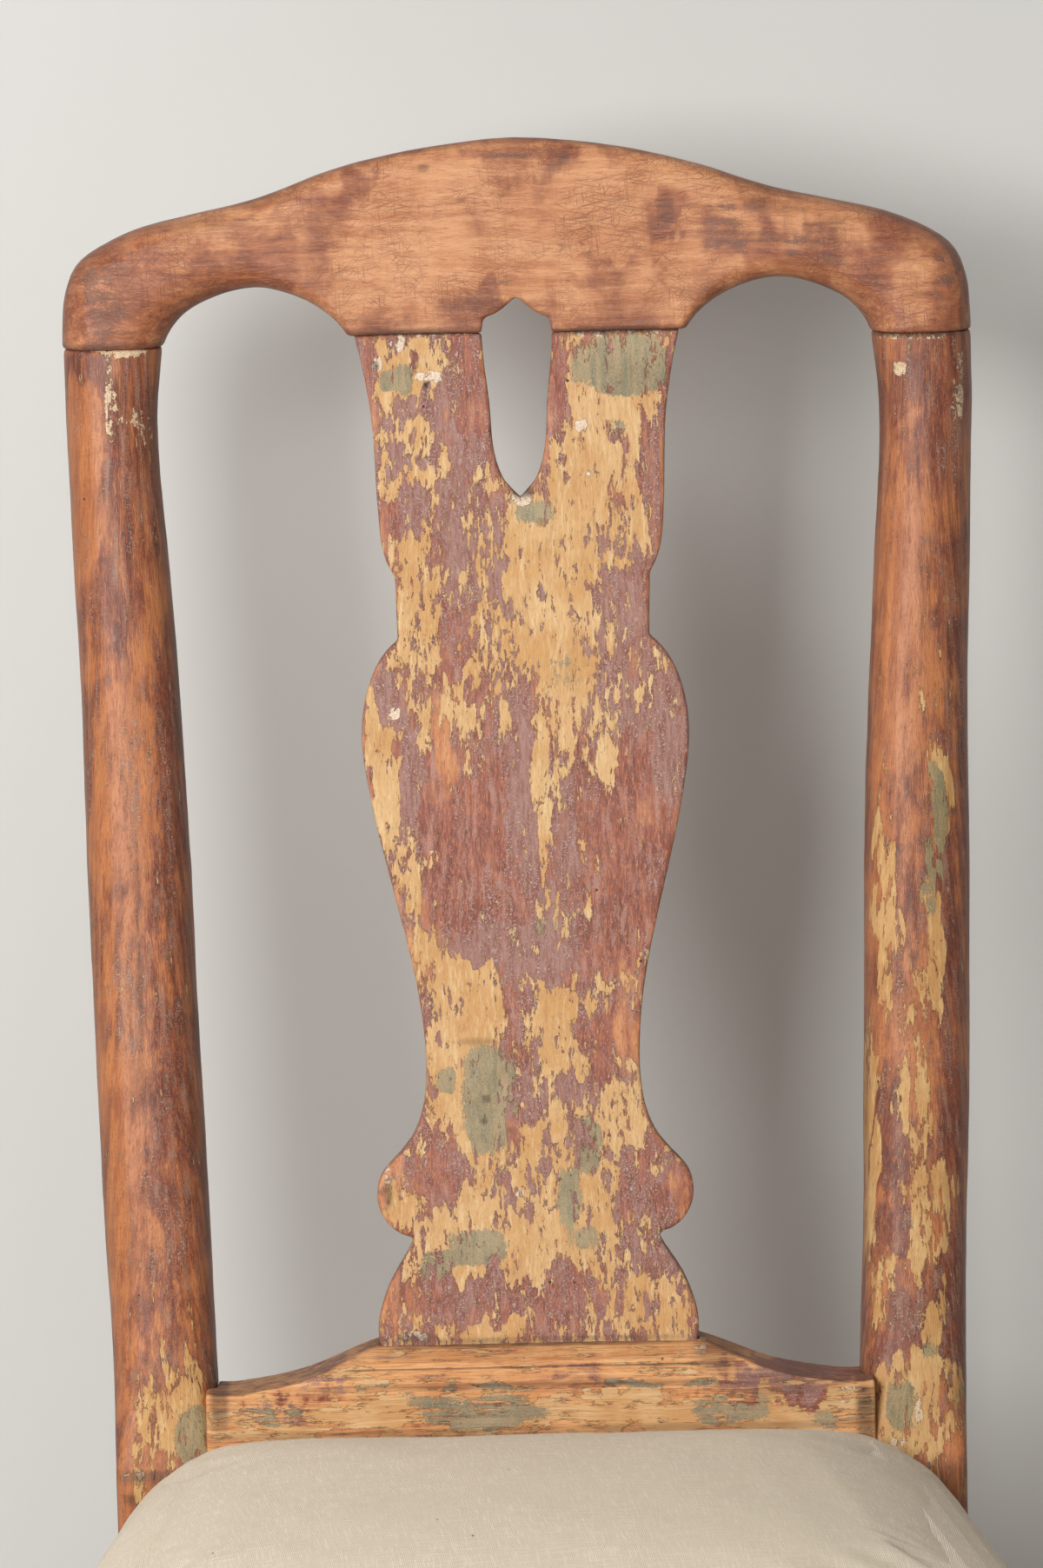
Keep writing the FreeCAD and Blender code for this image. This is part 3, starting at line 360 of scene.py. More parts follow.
    rough = blend((ochreCover, mauveCover, streak, dust), (0.1, 0.08, 0.1, 0.06)) + look["rough"]
    coats = blend((ochreCover, mauveCover, redCover, greenCover, puttyCover), (0.3, 0.08, 0.06, 0.05, 0.5))
    texture = blend((threads, hair, streak, chips), (0.07, 0.05, 0.06, 0.05))
    sunk = blend((scratched, holes, dirtAndShade), (0.08, 0.8, 0.1))
    shader.inputs["Specular IOR Level"].default_value = look["gloss"]
    return finishMaterial(material, shader, colour, rough, coats + texture - sunk, look["relief"])


oldPaint = {
    "grain": (1, 1, 0.3),
    "streak": 4.0,
    "cloud": 36.0,
    "flake": 5.0,
    "cell": 2.4,  # chips of flaking paint
    "greying": 0.3,
    "loose": 2.0,
    "woodLight": tone(212, 150, 104),
    "woodDark": tone(186, 112, 72),
    "woodLine": tone(150, 84, 54),
    "woodPale": tone(230, 182, 132),
    "red": tone(158, 98, 82),
    "redDark": tone(126, 72, 62),
    "rust": tone(208, 132, 88),
    "hair": 0.65,
    "redSoft": 0.16,
    "redMix": (0.4, 0.3, 0.2, 0.1),
    "mauve": tone(172, 134, 124),
    "mauveDark": tone(132, 80, 68),
    "mauveHaze": tone(214, 196, 188),
    "mauveMix": (0.3, 0.2, 0.25, 0.25),
    "ochre": tone(222, 182, 130),
    "ochreDeep": tone(210, 162, 106),
    "ochrePale": tone(234, 206, 160),
    "ochreLine": tone(186, 136, 92),
    "ochreMix": (0.42, 0.26, 0.22, 0.1),
    "green": tone(160, 156, 130),
    "greenDark": tone(118, 122, 104),
    "greenMix": (0.4, 0.22, 0.22, 0.16),
    "putty": tone(242, 224, 202),
    "puttyGrey": tone(216, 188, 162),
    "shade": tone(92, 56, 44),
    # dark of real dirt and of painted shade in hollows, grooves and holes
    "dirtAndShade": tone(58, 42, 34),
    "scratchTone": tone(120, 66, 44),
    "warmth": (1, 0.97, 0.95),
    # darkening of faces turned sideways, up or down: grime, and painted shade on the sides
    "grimeAndShade": 0.5,
    "grimeAndShadeTone": tone(84, 50, 38),
    "edgeWear": 0.22,
    "crevice": 0.75,
    "holes": 1.0,
    "scratch": 0.15,
    "rough": 0.5,
    "gloss": 0.4,
    "relief": 1.0,
}


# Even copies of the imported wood, so that wear and paint can follow each piece

def link(piece):
    bpy.context.scene.collection.objects.link(piece)
    return piece


def settle(piece):
    # modifiers become the mesh
    graph = bpy.context.evaluated_depsgraph_get()
    done = bpy.data.meshes.new_from_object(piece.evaluated_get(graph))
    piece.modifiers.clear()
    old = piece.data
    piece.data = done
    bpy.data.meshes.remove(old)
    done.name = piece.name
    for face in done.polygons:
        face.use_smooth = True


def readVectors(mesh, name):
    values = np.empty(len(mesh.vertices) * 3)
    mesh.vertices.foreach_get(name, values)
    return values.reshape(-1, 3)


def pointsOf(piece):
    return readVectors(piece.data, "co")


def normalsOf(piece):
    return readVectors(piece.data, "normal")


def placePoints(piece, points):
    piece.data.vertices.foreach_set("co", points.ravel())
    piece.data.update()


def evenOut(piece, voxel, soften):
    remesh = piece.modifiers.new("even", "REMESH")
    remesh.mode = "VOXEL"
    remesh.voxel_size = voxel
    smooth = piece.modifiers.new("soften", "SMOOTH")
    smooth.factor = 0.5
    smooth.iterations = soften
    settle(piece)


def evenCopy(name, source, voxel, soften):
    mesh = bpy.data.meshes.new(name)
    work = bmesh.new()
    work.from_mesh(nodes[source].data)
    bmesh.ops.remove_doubles(work, verts=work.verts, dist=0.01 * mm)
    work.to_mesh(mesh)
    work.free()
    piece = link(bpy.data.objects.new(name, mesh))
    evenOut(piece, voxel * mm, soften)
    return piece


def handWork(piece, waves):
    # the slight unevenness that hand tools and scraping leave
    points, normals = pointsOf(piece), normalsOf(piece)
    shift = np.zeros(len(points))
    for size, depth, seed in waves:
        offset = Vector((7.3, 3.1, 5.7)) * seed
        shift += depth * mm * np.array([noise.noise(Vector(p) / (size * mm) + offset) for p in points])
    points += normals * shift[:, None]
    points[:, 2] = np.maximum(points[:, 2], 0.0)  # feet stand on the floor
    placePoints(piece, points)


def storeChannel(piece, name, values):
    layer = piece.data.attributes.new(name, "FLOAT", "POINT")
    layer.data.foreach_set("value", values.astype(np.float32))


def markEdges(piece, reach, rounds):
    # above 0 on corners that stand proud, below 0 in hollows
    points, normals = pointsOf(piece), normalsOf(piece)
    count = len(points)
    ends = np.empty(len(piece.data.edges) * 2, dtype=np.int64)
    piece.data.edges.foreach_get("vertices", ends)
    first, second = ends[0::2], ends[1::2]
    degree = np.bincount(first, minlength=count) + np.bincount(second, minlength=count)
    eased = points.copy()
    for _ in range(rounds):
        total = np.empty_like(eased)
        for axis in range(3):
            total[:, axis] = (np.bincount(first, eased[second, axis], count)
                              + np.bincount(second, eased[first, axis], count))
        eased = 0.35 * eased + 0.65 * total / np.maximum(degree, 1)[:, None]
    proud = ((points - eased) * normals).sum(axis=1) / (reach * mm)
    storeChannel(piece, "edge", np.clip(proud, -1, 1))
    storeChannel(piece, "away", 1 - np.abs(normals[:, 1]))  # faces turned sideways, up or down: real dirt on the rounds, and painted shade on the sides


# size of the waves and how far they push, in millimetres, and their seed
frays = ((24, 6.0, 3), (9, 3.6, 4), (4, 1.8, 5))


def frayed(points):
    # points pushed about along the grain, so that the painted patches get ragged ends
    moved = points.copy()
    for size, reach, seed in frays:
        offset = Vector((3.7, 1.3, 9.1)) * seed
        scale = Vector((1.5, 1.0, 0.55)) / (size * mm)
        push = np.array([noise.noise_vector(Vector(p) * scale + offset) for p in points])
        moved += push * np.array((0.9, 0.0, 2.4)) * reach * mm
    return moved


def paintChannel(points, base, patches, margin):
    # patches are (left, top, right, bottom, level) in picture points on the back
    values = np.full(len(points), float(base))
    for left, top, right, bottom, level in patches:
        x, z = onBack((left + right) / 2, (top + bottom) / 2)
        wide, tall = (right - left) / 2 + margin, (bottom - top) / 2 + margin
        reach = (np.abs((points[:, 0] - x) / (wide * view["pixel"])) ** 3
                 + np.abs((points[:, 2] - z) / (tall * view["pixel"])) ** 3) ** (1 / 3)
        rim = min(0.9, 24 / min(wide, tall))  # a patch fades out over several millimetres
        weight = np.clip((1 + rim / 2 - reach) / rim, 0, 1)
        weight = weight * weight * (3 - 2 * weight)
        values += (level - values) * weight
    return values


def wear(piece, channels):
    exact = pointsOf(piece)
    pushed = frayed(exact)
    behind = np.clip(normalsOf(piece)[:, 1] * 3, 0, 1)
    for name, plain in rearPaint.items():
        base, patches = channels.get(name, (-0.5, []))
        points = exact if name in ("sootAndShade", "puttyness", "greenness") else pushed
        values = paintChannel(points, base, patches, 1 if name == "sootAndShade" else 3)
        storeChannel(piece, name, values + (plain - values) * behind)


def makeWorn(name, source, look, paint, channels):
    piece = evenCopy(name, source, look["voxel"], look["soften"])
    handWork(piece, look["waves"])
    markEdges(piece, *look.get("edges", (0.8, 7)))
    wear(piece, channels)
    piece.data.materials.clear()
    piece.data.materials.append(paint)
    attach(piece, "root")
    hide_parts(source)
    print(name + ":", len(piece.data.polygons), "faces")


# Vase splat

splatLook = {"voxel": 1.3, "soften": 3, "waves": [(70, 0.5, 1), (14, 0.12, 2)]}
splatChannels = {
    "bareness": (0.24, [
        (408, 395, 434, 560, 0.34), (497, 793, 520, 900, 0.6), (650, 1000, 790, 1120, 0.34),
        (700, 1150, 736, 1240, 0.45), (772, 1340, 795, 1405, 0.5), (430, 1020, 500, 1130, 0.5),
        (560, 560, 640, 600, 0.4), (748, 460, 766, 640, 0.5), (440, 1330, 470, 1410, 0.5),
        (440, 1480, 470, 1540, 0.5)]),
    "mauveness": (0.45, [
        (431, 440, 520, 460, 0.5), (431, 459, 552, 556, 0.8), (517, 388, 556, 549, 0.3),
        (494, 492, 553, 549, 0.62), (438, 566, 553, 615, 0.75), (438, 566, 458, 615, 0.3),
        (510, 607, 543, 702, 0.75), (543, 590, 750, 770, 0.85), (515, 700, 543, 780, 0.35),
        (729, 645, 748, 770, 0.5), (635, 388, 652, 513, 0.2), (471, 790, 790, 1120, 0.12),
        (459, 800, 477, 982, 0.92), (438, 762, 455, 826, 1.1), (560, 765, 600, 840, 0.7),
        (589, 811, 619, 1041, 0.92), (520, 790, 560, 900, 0.35), (630, 867, 665, 1015, 0.72),
        (670, 811, 686, 862, 0.9), (686, 765, 757, 837, 0.75), (757, 768, 790, 923, 0.9),
        (461, 979, 484, 1066, 0.6), (560, 1000, 600, 1066, 0.42), (515, 1066, 665, 1127, 0.8),
        (600, 1030, 660, 1080, 0.9), (498, 1127, 700, 1320, 0.78), (580, 1150, 608, 1206, 0.3),
        (675, 1150, 736, 1237, 0.15), (591, 1262, 602, 1301, 0.2), (540, 1318, 715, 1440, 0.85),
        (479, 1318, 537, 1380, 0.45), (714, 1330, 795, 1419, 0.42), (765, 1346, 795, 1403, 0.1),
        (714, 1419, 790, 1495, 0.6), (470, 1472, 703, 1523, 0.5), (442, 1487, 473, 1540, 0.3),
        (703, 1481, 804, 1540, 0.7)]),
    "ochreness": (0.5, [
        (408, 388, 440, 560, 0.12), (438, 400, 517, 460, 0.78), (448, 480, 512, 538, 0.62),
        (431, 459, 451, 566, 0.68), (451, 459, 543, 487, 0.2), (456, 508, 466, 549, 0.2),
        (517, 388, 556, 549, 0.05), (494, 492, 556, 549, 0.12), (469, 533, 512, 556, 0.2),
        (436, 549, 512, 568, 0.78), (438, 566, 500, 615, 0.1), (497, 564, 512, 600, 0.6),
        (512, 559, 553, 615, 0.25), (550, 546, 592, 600, 0.78), (558, 584, 576, 612, 0.12),
        (650, 388, 765, 640, 0.86), (635, 388, 652, 513, 0.08), (750, 460, 766, 630, 0.12),
        (703, 492, 729, 513, 0.2), (701, 564, 732, 625, 0.5), (579, 575, 690, 770, 0.8),
        (451, 615, 510, 735, 0.76), (510, 607, 543, 702, 0.2), (515, 696, 543, 775, 0.12),
        (543, 625, 584, 770, 0.5), (693, 645, 746, 770, 0.32), (729, 658, 748, 712, 0.08),
        (670, 696, 701, 770, 0.4), (471, 800, 790, 1122, 0.04), (418, 765, 459, 926, 0.9),
        (438, 844, 456, 880, 0.35), (438, 926, 456, 964, 0.8), (438, 762, 455, 826, 0.05),
        (459, 800, 477, 982, 0.08), (461, 979, 484, 1066, 0.72), (484, 984, 507, 1005, 0.48),
        (528, 765, 548, 845, 0.6), (535, 845, 548, 877, 0.35), (553, 760, 589, 829, 0.52),
        (589, 811, 619, 1041, 0.08), (622, 760, 683, 811, 0.9), (630, 786, 670, 877, 0.84),
        (617, 826, 630, 1015, 0.78), (670, 811, 686, 862, 0.1), (683, 811, 711, 903, 0.86),
        (686, 765, 757, 837, 0.36), (757, 768, 790, 923, 0.2), (640, 870, 655, 933, 0.7),
        (604, 1030, 658, 1079, 0.58), (672, 930, 678, 1045, 0.45), (502, 1127, 566, 1160, 0.85),
        (566, 1127, 614, 1160, 0.42), (614, 1127, 670, 1160, 0.75), (498, 1150, 591, 1318, 0.87),
        (504, 1192, 515, 1209, 0.15), (580, 1150, 608, 1206, 0.15), (616, 1150, 664, 1212, 0.8),
        (675, 1150, 736, 1237, 0.1), (596, 1217, 624, 1296, 0.3), (591, 1262, 602, 1301, 0.08),
        (624, 1215, 680, 1245, 0.68), (641, 1245, 683, 1307, 0.4), (692, 1237, 734, 1332, 0.74),
        (605, 1282, 647, 1318, 0.84), (568, 1318, 641, 1363, 0.45), (652, 1330, 700, 1420, 0.78),
        (479, 1318, 537, 1380, 0.06), (442, 1324, 476, 1403, 0.3), (445, 1374, 484, 1411, 0.84),
        (580, 1355, 652, 1419, 0.58), (523, 1366, 580, 1403, 0.92), (498, 1397, 580, 1419, 0.85),
        (479, 1414, 720, 1478, 0.8), (714, 1330, 795, 1419, 0.05), (714, 1419, 790, 1495, 0.35),
        (470, 1474, 703, 1523, 0.08), (442, 1487, 473, 1540, 0.4), (703, 1481, 804, 1540, 0.68),
        (608, 1524, 703, 1543, 0.3), (532, 1524, 608, 1543, 0.88)]),
    "greenness": (0.1, [
        (680, 390, 765, 452, 1.0), (655, 395, 682, 440, 0.6), (438, 429, 451, 449, 0.6),
        (456, 421, 474, 454, 0.6), (594, 579, 637, 600, 0.62), (697, 485, 720, 500, 0.58),
        (537, 1212, 588, 1321, 1.0), (504, 1234, 521, 1257, 0.8), (664, 1285, 689, 1352, 0.7),
        (644, 1346, 667, 1411, 0.7), (521, 1419, 582, 1456, 0.78), (484, 1442, 521, 1473, 0.52),
        (655, 1415, 700, 1440, 0.48), (605, 1060, 640, 1080, 0.6), (635, 760, 665, 790, 0.4)]),
    "puttyness": (-0.3, [
        (418, 384, 560, 387, 0.44), (640, 381, 775, 386, 0.48), (446, 386, 466, 405, 0.56),
        (428, 413, 438, 429, 0.64), (477, 429, 510, 441, 0.64), (590, 568, 612, 582, 0.69),
        (664, 485, 675, 496, 0.64), (665, 541, 692, 549, 0.44), (449, 817, 459, 828, 0.64),
        (440, 762, 452, 800, 0.29), (444, 1340, 452, 1380, 0.44), (460, 1535, 495, 1545, 0.49),
        (594, 1372, 602, 1378, 0.64), (758, 1418, 768, 1428, 0.54), (608, 1369, 647, 1431, 0.24)]),
    # dark joint lines and marks; the line along the splat's foot is painted shade where it meets the shoe
    "sootAndShade": (0.0, [
        (405, 379, 560, 384, 0.9), (636, 379, 780, 384, 0.9), (590, 560, 612, 572, 0.95),
        (428, 418, 434, 425, 0.9), (487, 441, 492, 447, 0.9), (618, 600, 626, 606, 0.6),
        (442, 1365, 450, 1390, 0.7), (455, 1538, 500, 1545, 0.6), (526, 1198, 568, 1203, 0.4),
        (470, 1541, 800, 1546, 0.5), (556, 1263, 563, 1270, 0.8), (555, 1289, 560, 1295, 0.8),
        (584, 1299, 590, 1305, 0.8)]),
}
makeWorn("wornSplat", "back_splat", splatLook, agedPaint("layeredSplatPaint", oldPaint), splatChannels)


# Crest rail, scraped nearly to the wood and rubbed smooth

crestLook = {"voxel": 1.3, "soften": 3, "waves": [(60, 0.7, 3), (16, 0.16, 4)]}
crestPaint = dict(
    oldPaint, grain=(0.3, 1, 1), cloud=30.0,
    woodLight=tone(222, 168, 128), woodDark=tone(200, 138, 98),
    woodLine=tone(166, 104, 72), woodPale=tone(234, 188, 148),
    red=tone(176, 108, 76), redDark=tone(128, 72, 52), rust=tone(200, 132, 90),
    redSoft=0.26, redMix=(0.56, 0.1, 0.12, 0.22),
    mauve=tone(150, 112, 102), mauveDark=tone(116, 82, 74), mauveHaze=tone(170, 138, 126),
    scratch=0.7, scratchTone=tone(116, 62, 42), grimeAndShade=0.6, warmth=(0.93, 0.83, 0.68),
    rough=0.42, gloss=0.5, edgeWear=-0.3, holes=0.4, crevice=0.5, relief=0.8)
crestChannels = {
    "bareness": (0.5, [
        (370, 170, 830, 350, 0.8), (240, 250, 400, 290, 0.6), (520, 165, 760, 200, 0.72),
        (60, 200, 330, 400, 0.28), (150, 250, 290, 330, 0.4), (70, 260, 190, 400, 0.28),
        (860, 220, 1112, 400, 0.32), (890, 240, 1030, 320, 0.44), (990, 240, 1112, 400, 0.28),
        (810, 240, 870, 300, 0.4), (400, 336, 800, 384, 0.66), (410, 356, 550, 386, 0.5),
        (240, 214, 420, 266, 0.55), (830, 214, 990, 262, 0.72), (366, 220, 424, 242, 0.36),
        (350, 255, 376, 330, 0.4), (628, 172, 662, 192, 0.3), (560, 185, 640, 212, 0.6),
        (640, 300, 790, 384, 0.56), (530, 335, 582, 362, 0.42), (742, 222, 788, 266, 0.2),
        (430, 225, 520, 330, 0.96), (640, 240, 740, 300, 0.98), (540, 230, 640, 260, 0.7),
        (1040, 290, 1070, 380, 0.55)]),
    "mauveness": (0.05, [
        (815, 236, 862, 296, 0.55), (870, 258, 960, 292, 0.42), (1080, 270, 1106, 350, 0.45),
        (90, 310, 150, 380, 0.42)]),
    "sootAndShade": (0.0, [
        (758, 228, 775, 256, 0.55), (642, 176, 655, 190, 0.55), (482, 190, 492, 198, 0.6),
        (858, 230, 884, 240, 0.4), (948, 252, 972, 264, 0.4), (950, 292, 972, 308, 0.35),
        (200, 252, 290, 270, 0.2), (528, 340, 575, 356, 0.3), (405, 380, 560, 386, 0.8),
        (636, 378, 780, 384, 0.8), (70, 397, 186, 402, 0.6), (998, 383, 1112, 388, 0.7)]),
}
makeWorn("wornCrest", "crest_rail", crestLook, agedPaint("scrapedCrestWood", crestPaint), crestChannels)


# Rear posts

postLook = {"voxel": 1.7, "soften": 4, "waves": [(80, 0.7, 5), (18, 0.15, 6)]}
postPaint = dict(
    oldPaint, grain=(1, 1, 0.16), cloud=34.0,
    woodLight=tone(206, 136, 90), woodDark=tone(176, 106, 68),
    woodLine=tone(132, 72, 48), woodPale=tone(222, 166, 118),
    red=tone(138, 72, 52), redDark=tone(100, 50, 40), rust=tone(190, 112, 72),
    redSoft=0.13, redMix=(0.3, 0.28, 0.24, 0.18), ochreMix=(0.36, 0.18, 0.2, 0.26),
    rough=0.4, gloss=0.5, edgeWear=0.1, scratch=0.3, relief=0.9, grimeAndShade=0.55, warmth=(0.86, 0.78, 0.63))
leftPostChannels = {
    "bareness": (0.52, [
        (70, 402, 125, 450, 0.3), (86, 440, 112, 500, 0.85), (120, 402, 182, 640, 0.36),
        (80, 500, 112, 700, 0.72), (95, 640, 160, 760, 0.34), (130, 760, 172, 1000, 0.7),
        (180, 760, 206, 1000, 0.28), (98, 700, 126, 960, 0.5), (110, 1000, 150, 1200, 0.55),
        (165, 1000, 212, 1200, 0.4), (120, 1200, 170, 1420, 0.62), (175, 1200, 228, 1500, 0.36),
        (150, 1500, 240, 1600, 0.45), (145, 1600, 200, 1700, 0.5)]),
    # the paler mauve patches down the middle of the left post are partly a painted sheen along its round
    # front
    "mauveness": (0.12, [
        (128, 1120, 166, 1200, 0.5), (138, 800, 160, 960, 0.42), (170, 1380, 214, 1480, 0.36)]),
    "ochreness": (0.03, [
        (158, 470, 182, 640, 0.14), (175, 1440, 235, 1560, 0.2), (150, 1560, 245, 1680, 0.56),
        (190, 1600, 240, 1690, 0.72), (145, 1660, 180, 1720, 0.5)]),
    "greenness": (0.0, [
        (204, 1618, 240, 1684, 0.78)]),
    "puttyness": (-0.35, [
        (70, 398, 125, 403, 0.46), (112, 399, 172, 411, 0.7), (122, 404, 134, 520, 0.46),
        (124, 450, 134, 505, 0.58), (134, 470, 166, 492, 0.41), (160, 480, 176, 518, 0.42),
        (130, 1128, 140, 1148, 0.44), (160, 990, 166, 1100, 0.24), (238, 1575, 252, 1600, 0.46),
        (140, 1692, 175, 1702, 0.46)]),
    # dark crust and joint lines; the strip down the inner side by the shoe is painted shade in that corner
    "sootAndShade": (0.0, [
        (68, 396, 186, 400, 0.85), (240, 1575, 258, 1640, 0.8), (134, 1694, 200, 1706, 0.7),
        (146, 1720, 155, 1731, 0.9), (158, 960, 163, 1240, 0.35)]),
}
rightPostChannels = {
    "bareness": (0.5, [
        (1004, 390, 1050, 560, 0.45), (1060, 390, 1110, 560, 0.3), (1010, 560, 1060, 760, 0.66),
        (1076, 560, 1110, 760, 0.4), (1010, 760, 1070, 860, 0.56), (1000, 860, 1050, 1000, 0.56),
        (1034, 1133, 1062, 1230, 0.9), (1082, 1000, 1112, 1352, 0.3), (1000, 1010, 1012, 1200, 0.6),
        (1011, 1255, 1036, 1357, 0.16), (1007, 1400, 1042, 1437, 0.12), (1000, 1529, 1042, 1562, 0.1),
        (1035, 1462, 1072, 1549, 0.24), (1086, 1400, 1112, 1560, 0.2)]),
    "mauveness": (0.1, [
        (1050, 1270, 1068, 1330, 0.4), (1035, 1462, 1072, 1549, 0.45), (1030, 1090, 1056, 1140, 0.42),
        (1040, 1600, 1070, 1660, 0.6)]),
    "ochreness": (0.04, [
        (1040, 640, 1100, 830, 0.2), (1068, 860, 1090, 1000, 0.72), (1011, 940, 1030, 1025, 0.58),
        (1006, 1025, 1036, 1094, 0.72), (1012, 1094, 1024, 1168, 0.62), (1059, 1000, 1082, 1071, 0.92),
        (1062, 1071, 1084, 1163, 0.8), (1034, 1133, 1062, 1230, 0.34), (1036, 1230, 1074, 1344, 0.84),
        (1050, 1240, 1056, 1330, 0.4), (996, 1199, 1011, 1400, 0.72), (1034, 1352, 1100, 1400, 0.68),
        (996, 1400, 1010, 1450, 0.66), (1042, 1400, 1067, 1452, 0.74), (1070, 1400, 1086, 1440, 0.6),
        (1000, 1450, 1035, 1512, 0.5), (1067, 1495, 1083, 1564, 0.82), (1084, 1460, 1100, 1520, 0.4),
        (1000, 1562, 1112, 1672, 0.8), (1086, 1585, 1094, 1640, 0.25), (1069, 1674, 1114, 1736, 0.4)]),
    "greenness": (0.0, [
        (1066, 880, 1088, 1010, 0.8), (1060, 1000, 1076, 1060, 0.55), (1020, 1587, 1052, 1649, 0.66),
        (1062, 1545, 1080, 1560, 0.5), (1098, 1590, 1110, 1640, 0.5)]),
    "puttyness": (-0.35, [
        (1000, 385, 1112, 390, 0.5), (1028, 417, 1043, 432, 0.71), (1094, 430, 1110, 492, 0.46),
        (1102, 400, 1108, 440, 0.46), (1052, 1599, 1061, 1640, 0.56), (1020, 1654, 1044, 1666, 0.58),
        (998, 1590, 1012, 1640, 0.26)]),
    # dark crust and joint lines; the strip down the inner side by the shoe and seat is painted shade in that
    # corner
    "sootAndShade": (0.0, [
        (998, 383, 1112, 387, 0.85), (994, 1580, 1008, 1660, 0.75), (1070, 1680, 1116, 1745, 0.45),
        (1048, 1094, 1056, 1104, 0.6), (1094, 446, 1106, 452, 0.6)]),
}
rubbedPaint = agedPaint("rubbedPostPaint", postPaint)
makeWorn("wornPostLeft", "rear_post_left", postLook, rubbedPaint, leftPostChannels)
makeWorn("wornPostRight", "rear_post_right", postLook, rubbedPaint, rightPostChannels)


# Moulded shoe under the splat

shoeLook = {"voxel": 1.1, "soften": 2, "waves": [(50, 0.4, 7), (12, 0.12, 8)], "edges": (0.35, 16)}
shoePaint = dict(
    oldPaint, grain=(0.16, 1, 1), streak=2.6, cloud=22.0, loose=1.9,
    woodLight=tone(234, 178, 120), woodDark=tone(204, 138, 84),
    woodLine=tone(150, 84, 52), woodPale=tone(240, 196, 140),
    red=tone(150, 86, 66), redDark=tone(112, 60, 48), redSoft=0.1,
    green=tone(150, 148, 124), greenDark=tone(112, 116, 104),
    edgeWear=0.12, crevice=0.9, scratch=0.1, relief=1.2)
shoeChannels = {
    "bareness": (0.66, [
        (400, 1556, 850, 1590, 0.76), (395, 1560, 440, 1572, 0.55), (480, 1564, 520, 1580, 0.6),
        (630, 1560, 700, 1582, 0.56), (800, 1566, 850, 1588, 0.5), (840, 1560, 1000, 1612, 0.26),
        (255, 1584, 400, 1604, 0.45), (300, 1560, 430, 1590, 0.5), (690, 1594, 760, 1612, 0.5),
        (560, 1610, 660, 1630, 0.4)]),
    "mauveness": (0.12, [
        (850, 1560, 960, 1600, 0.66), (340, 1560, 400, 1585, 0.6), (580, 1608, 640, 1632, 0.6),
        (300, 1615, 345, 1632, 0.5)]),
    "ochreness": (0.3, [
        (400, 1556, 850, 1590, 0.3), (270, 1600, 1000, 1642, 0.66), (680, 1604, 800, 1642, 0.8),
        (860, 1600, 985, 1645, 0.78), (255, 1584, 400, 1600, 0.3), (840, 1560, 1000, 1604, 0.2)]),
    "greenness": (0.16, [
        (270, 1612, 360, 1636, 0.5), (470, 1602, 620, 1642, 0.56), (800, 1598, 880, 1632, 0.72),
        (380, 1586, 850, 1592, 0.6), (930, 1620, 985, 1640, 0.5)]),
    "puttyness": (-0.3, [
        (440, 1538, 500, 1548, 0.6), (300, 1606, 350, 1620, 0.3), (960, 1590, 990, 1612, 0.4),
        (800, 1540, 812, 1560, 0.5), (330, 1560, 400, 1580, 0.15)]),
    # dark lines along the ledge, the groove and the foot of the shoe and at its corners with the posts:
    # painted shade in these steps and corners, with some dirt
    "sootAndShade": (0.0, [
        (430, 1543, 810, 1549, 0.85), (380, 1587, 860, 1591, 0.6), (244, 1588, 262, 1640, 0.8),
        (986, 1590, 1004, 1650, 0.9), (804, 1540, 850, 1575, 0.55), (410, 1540, 440, 1552, 0.8),
        (820, 1575, 960, 1600, 0.4), (250, 1640, 1000, 1648, 0.5)]),
}
makeWorn("wornShoe", "shoe_rail", shoeLook, agedPaint("streakedShoePaint", shoePaint), shoeChannels)


# Front legs, brackets and stretchers

legLook = {"voxel": 1.8, "soften": 4, "waves": [(60, 0.5, 9), (16, 0.12, 10)]}
legPaint = dict(postPaint, grain=(1, 1, 0.25), flake=9.0, edgeWear=0.3, grimeAndShade=0.3)
barPaint = dict(legPaint, grain=(1, 0.3, 1))
crossBarPaint = dict(legPaint, grain=(0.3, 1, 1))
legChannels = {
    "bareness": (0.5, []), "mauveness": (0.25, []), "ochreness": (0.34, []), "greenness": (0.05, []),
    "puttyness": (-0.35, []), "sootAndShade": (0.0, [])}
lowerPieces = {
    "leg": {"wornLegLeft": "front_leg_left", "wornLegRight": "front_leg_right"},
    "bar": {
        "wornBracketSideLeft": "knee_bracket_side_left", "wornBracketSideRight": "knee_bracket_side_right",
        "wornStretcherLeft": "side_stretcher_left", "wornStretcherRight": "side_stretcher_right"},
    "cross": {
        "wornBracketFrontLeft": "knee_bracket_front_left",
        "wornBracketFrontRight": "knee_bracket_front_right",
        "wornStretcherCross": "cross_stretcher", "wornStretcherRear": "rear_stretcher"},
}


def makeLowerWood():
    paints = {
        "leg": agedPaint("rubbedLegPaint", legPaint), "bar": agedPaint("rubbedSideBarPaint", barPaint),
        "cross": agedPaint("rubbedCrossBarPaint", crossBarPaint)}
    for kind, pieces in lowerPieces.items():
        for name, source in pieces.items():
            makeWorn(name, source, legLook, paints[kind], legChannels)


makeLowerWood()


# Bare wood of the seat frame, webbing and hessian

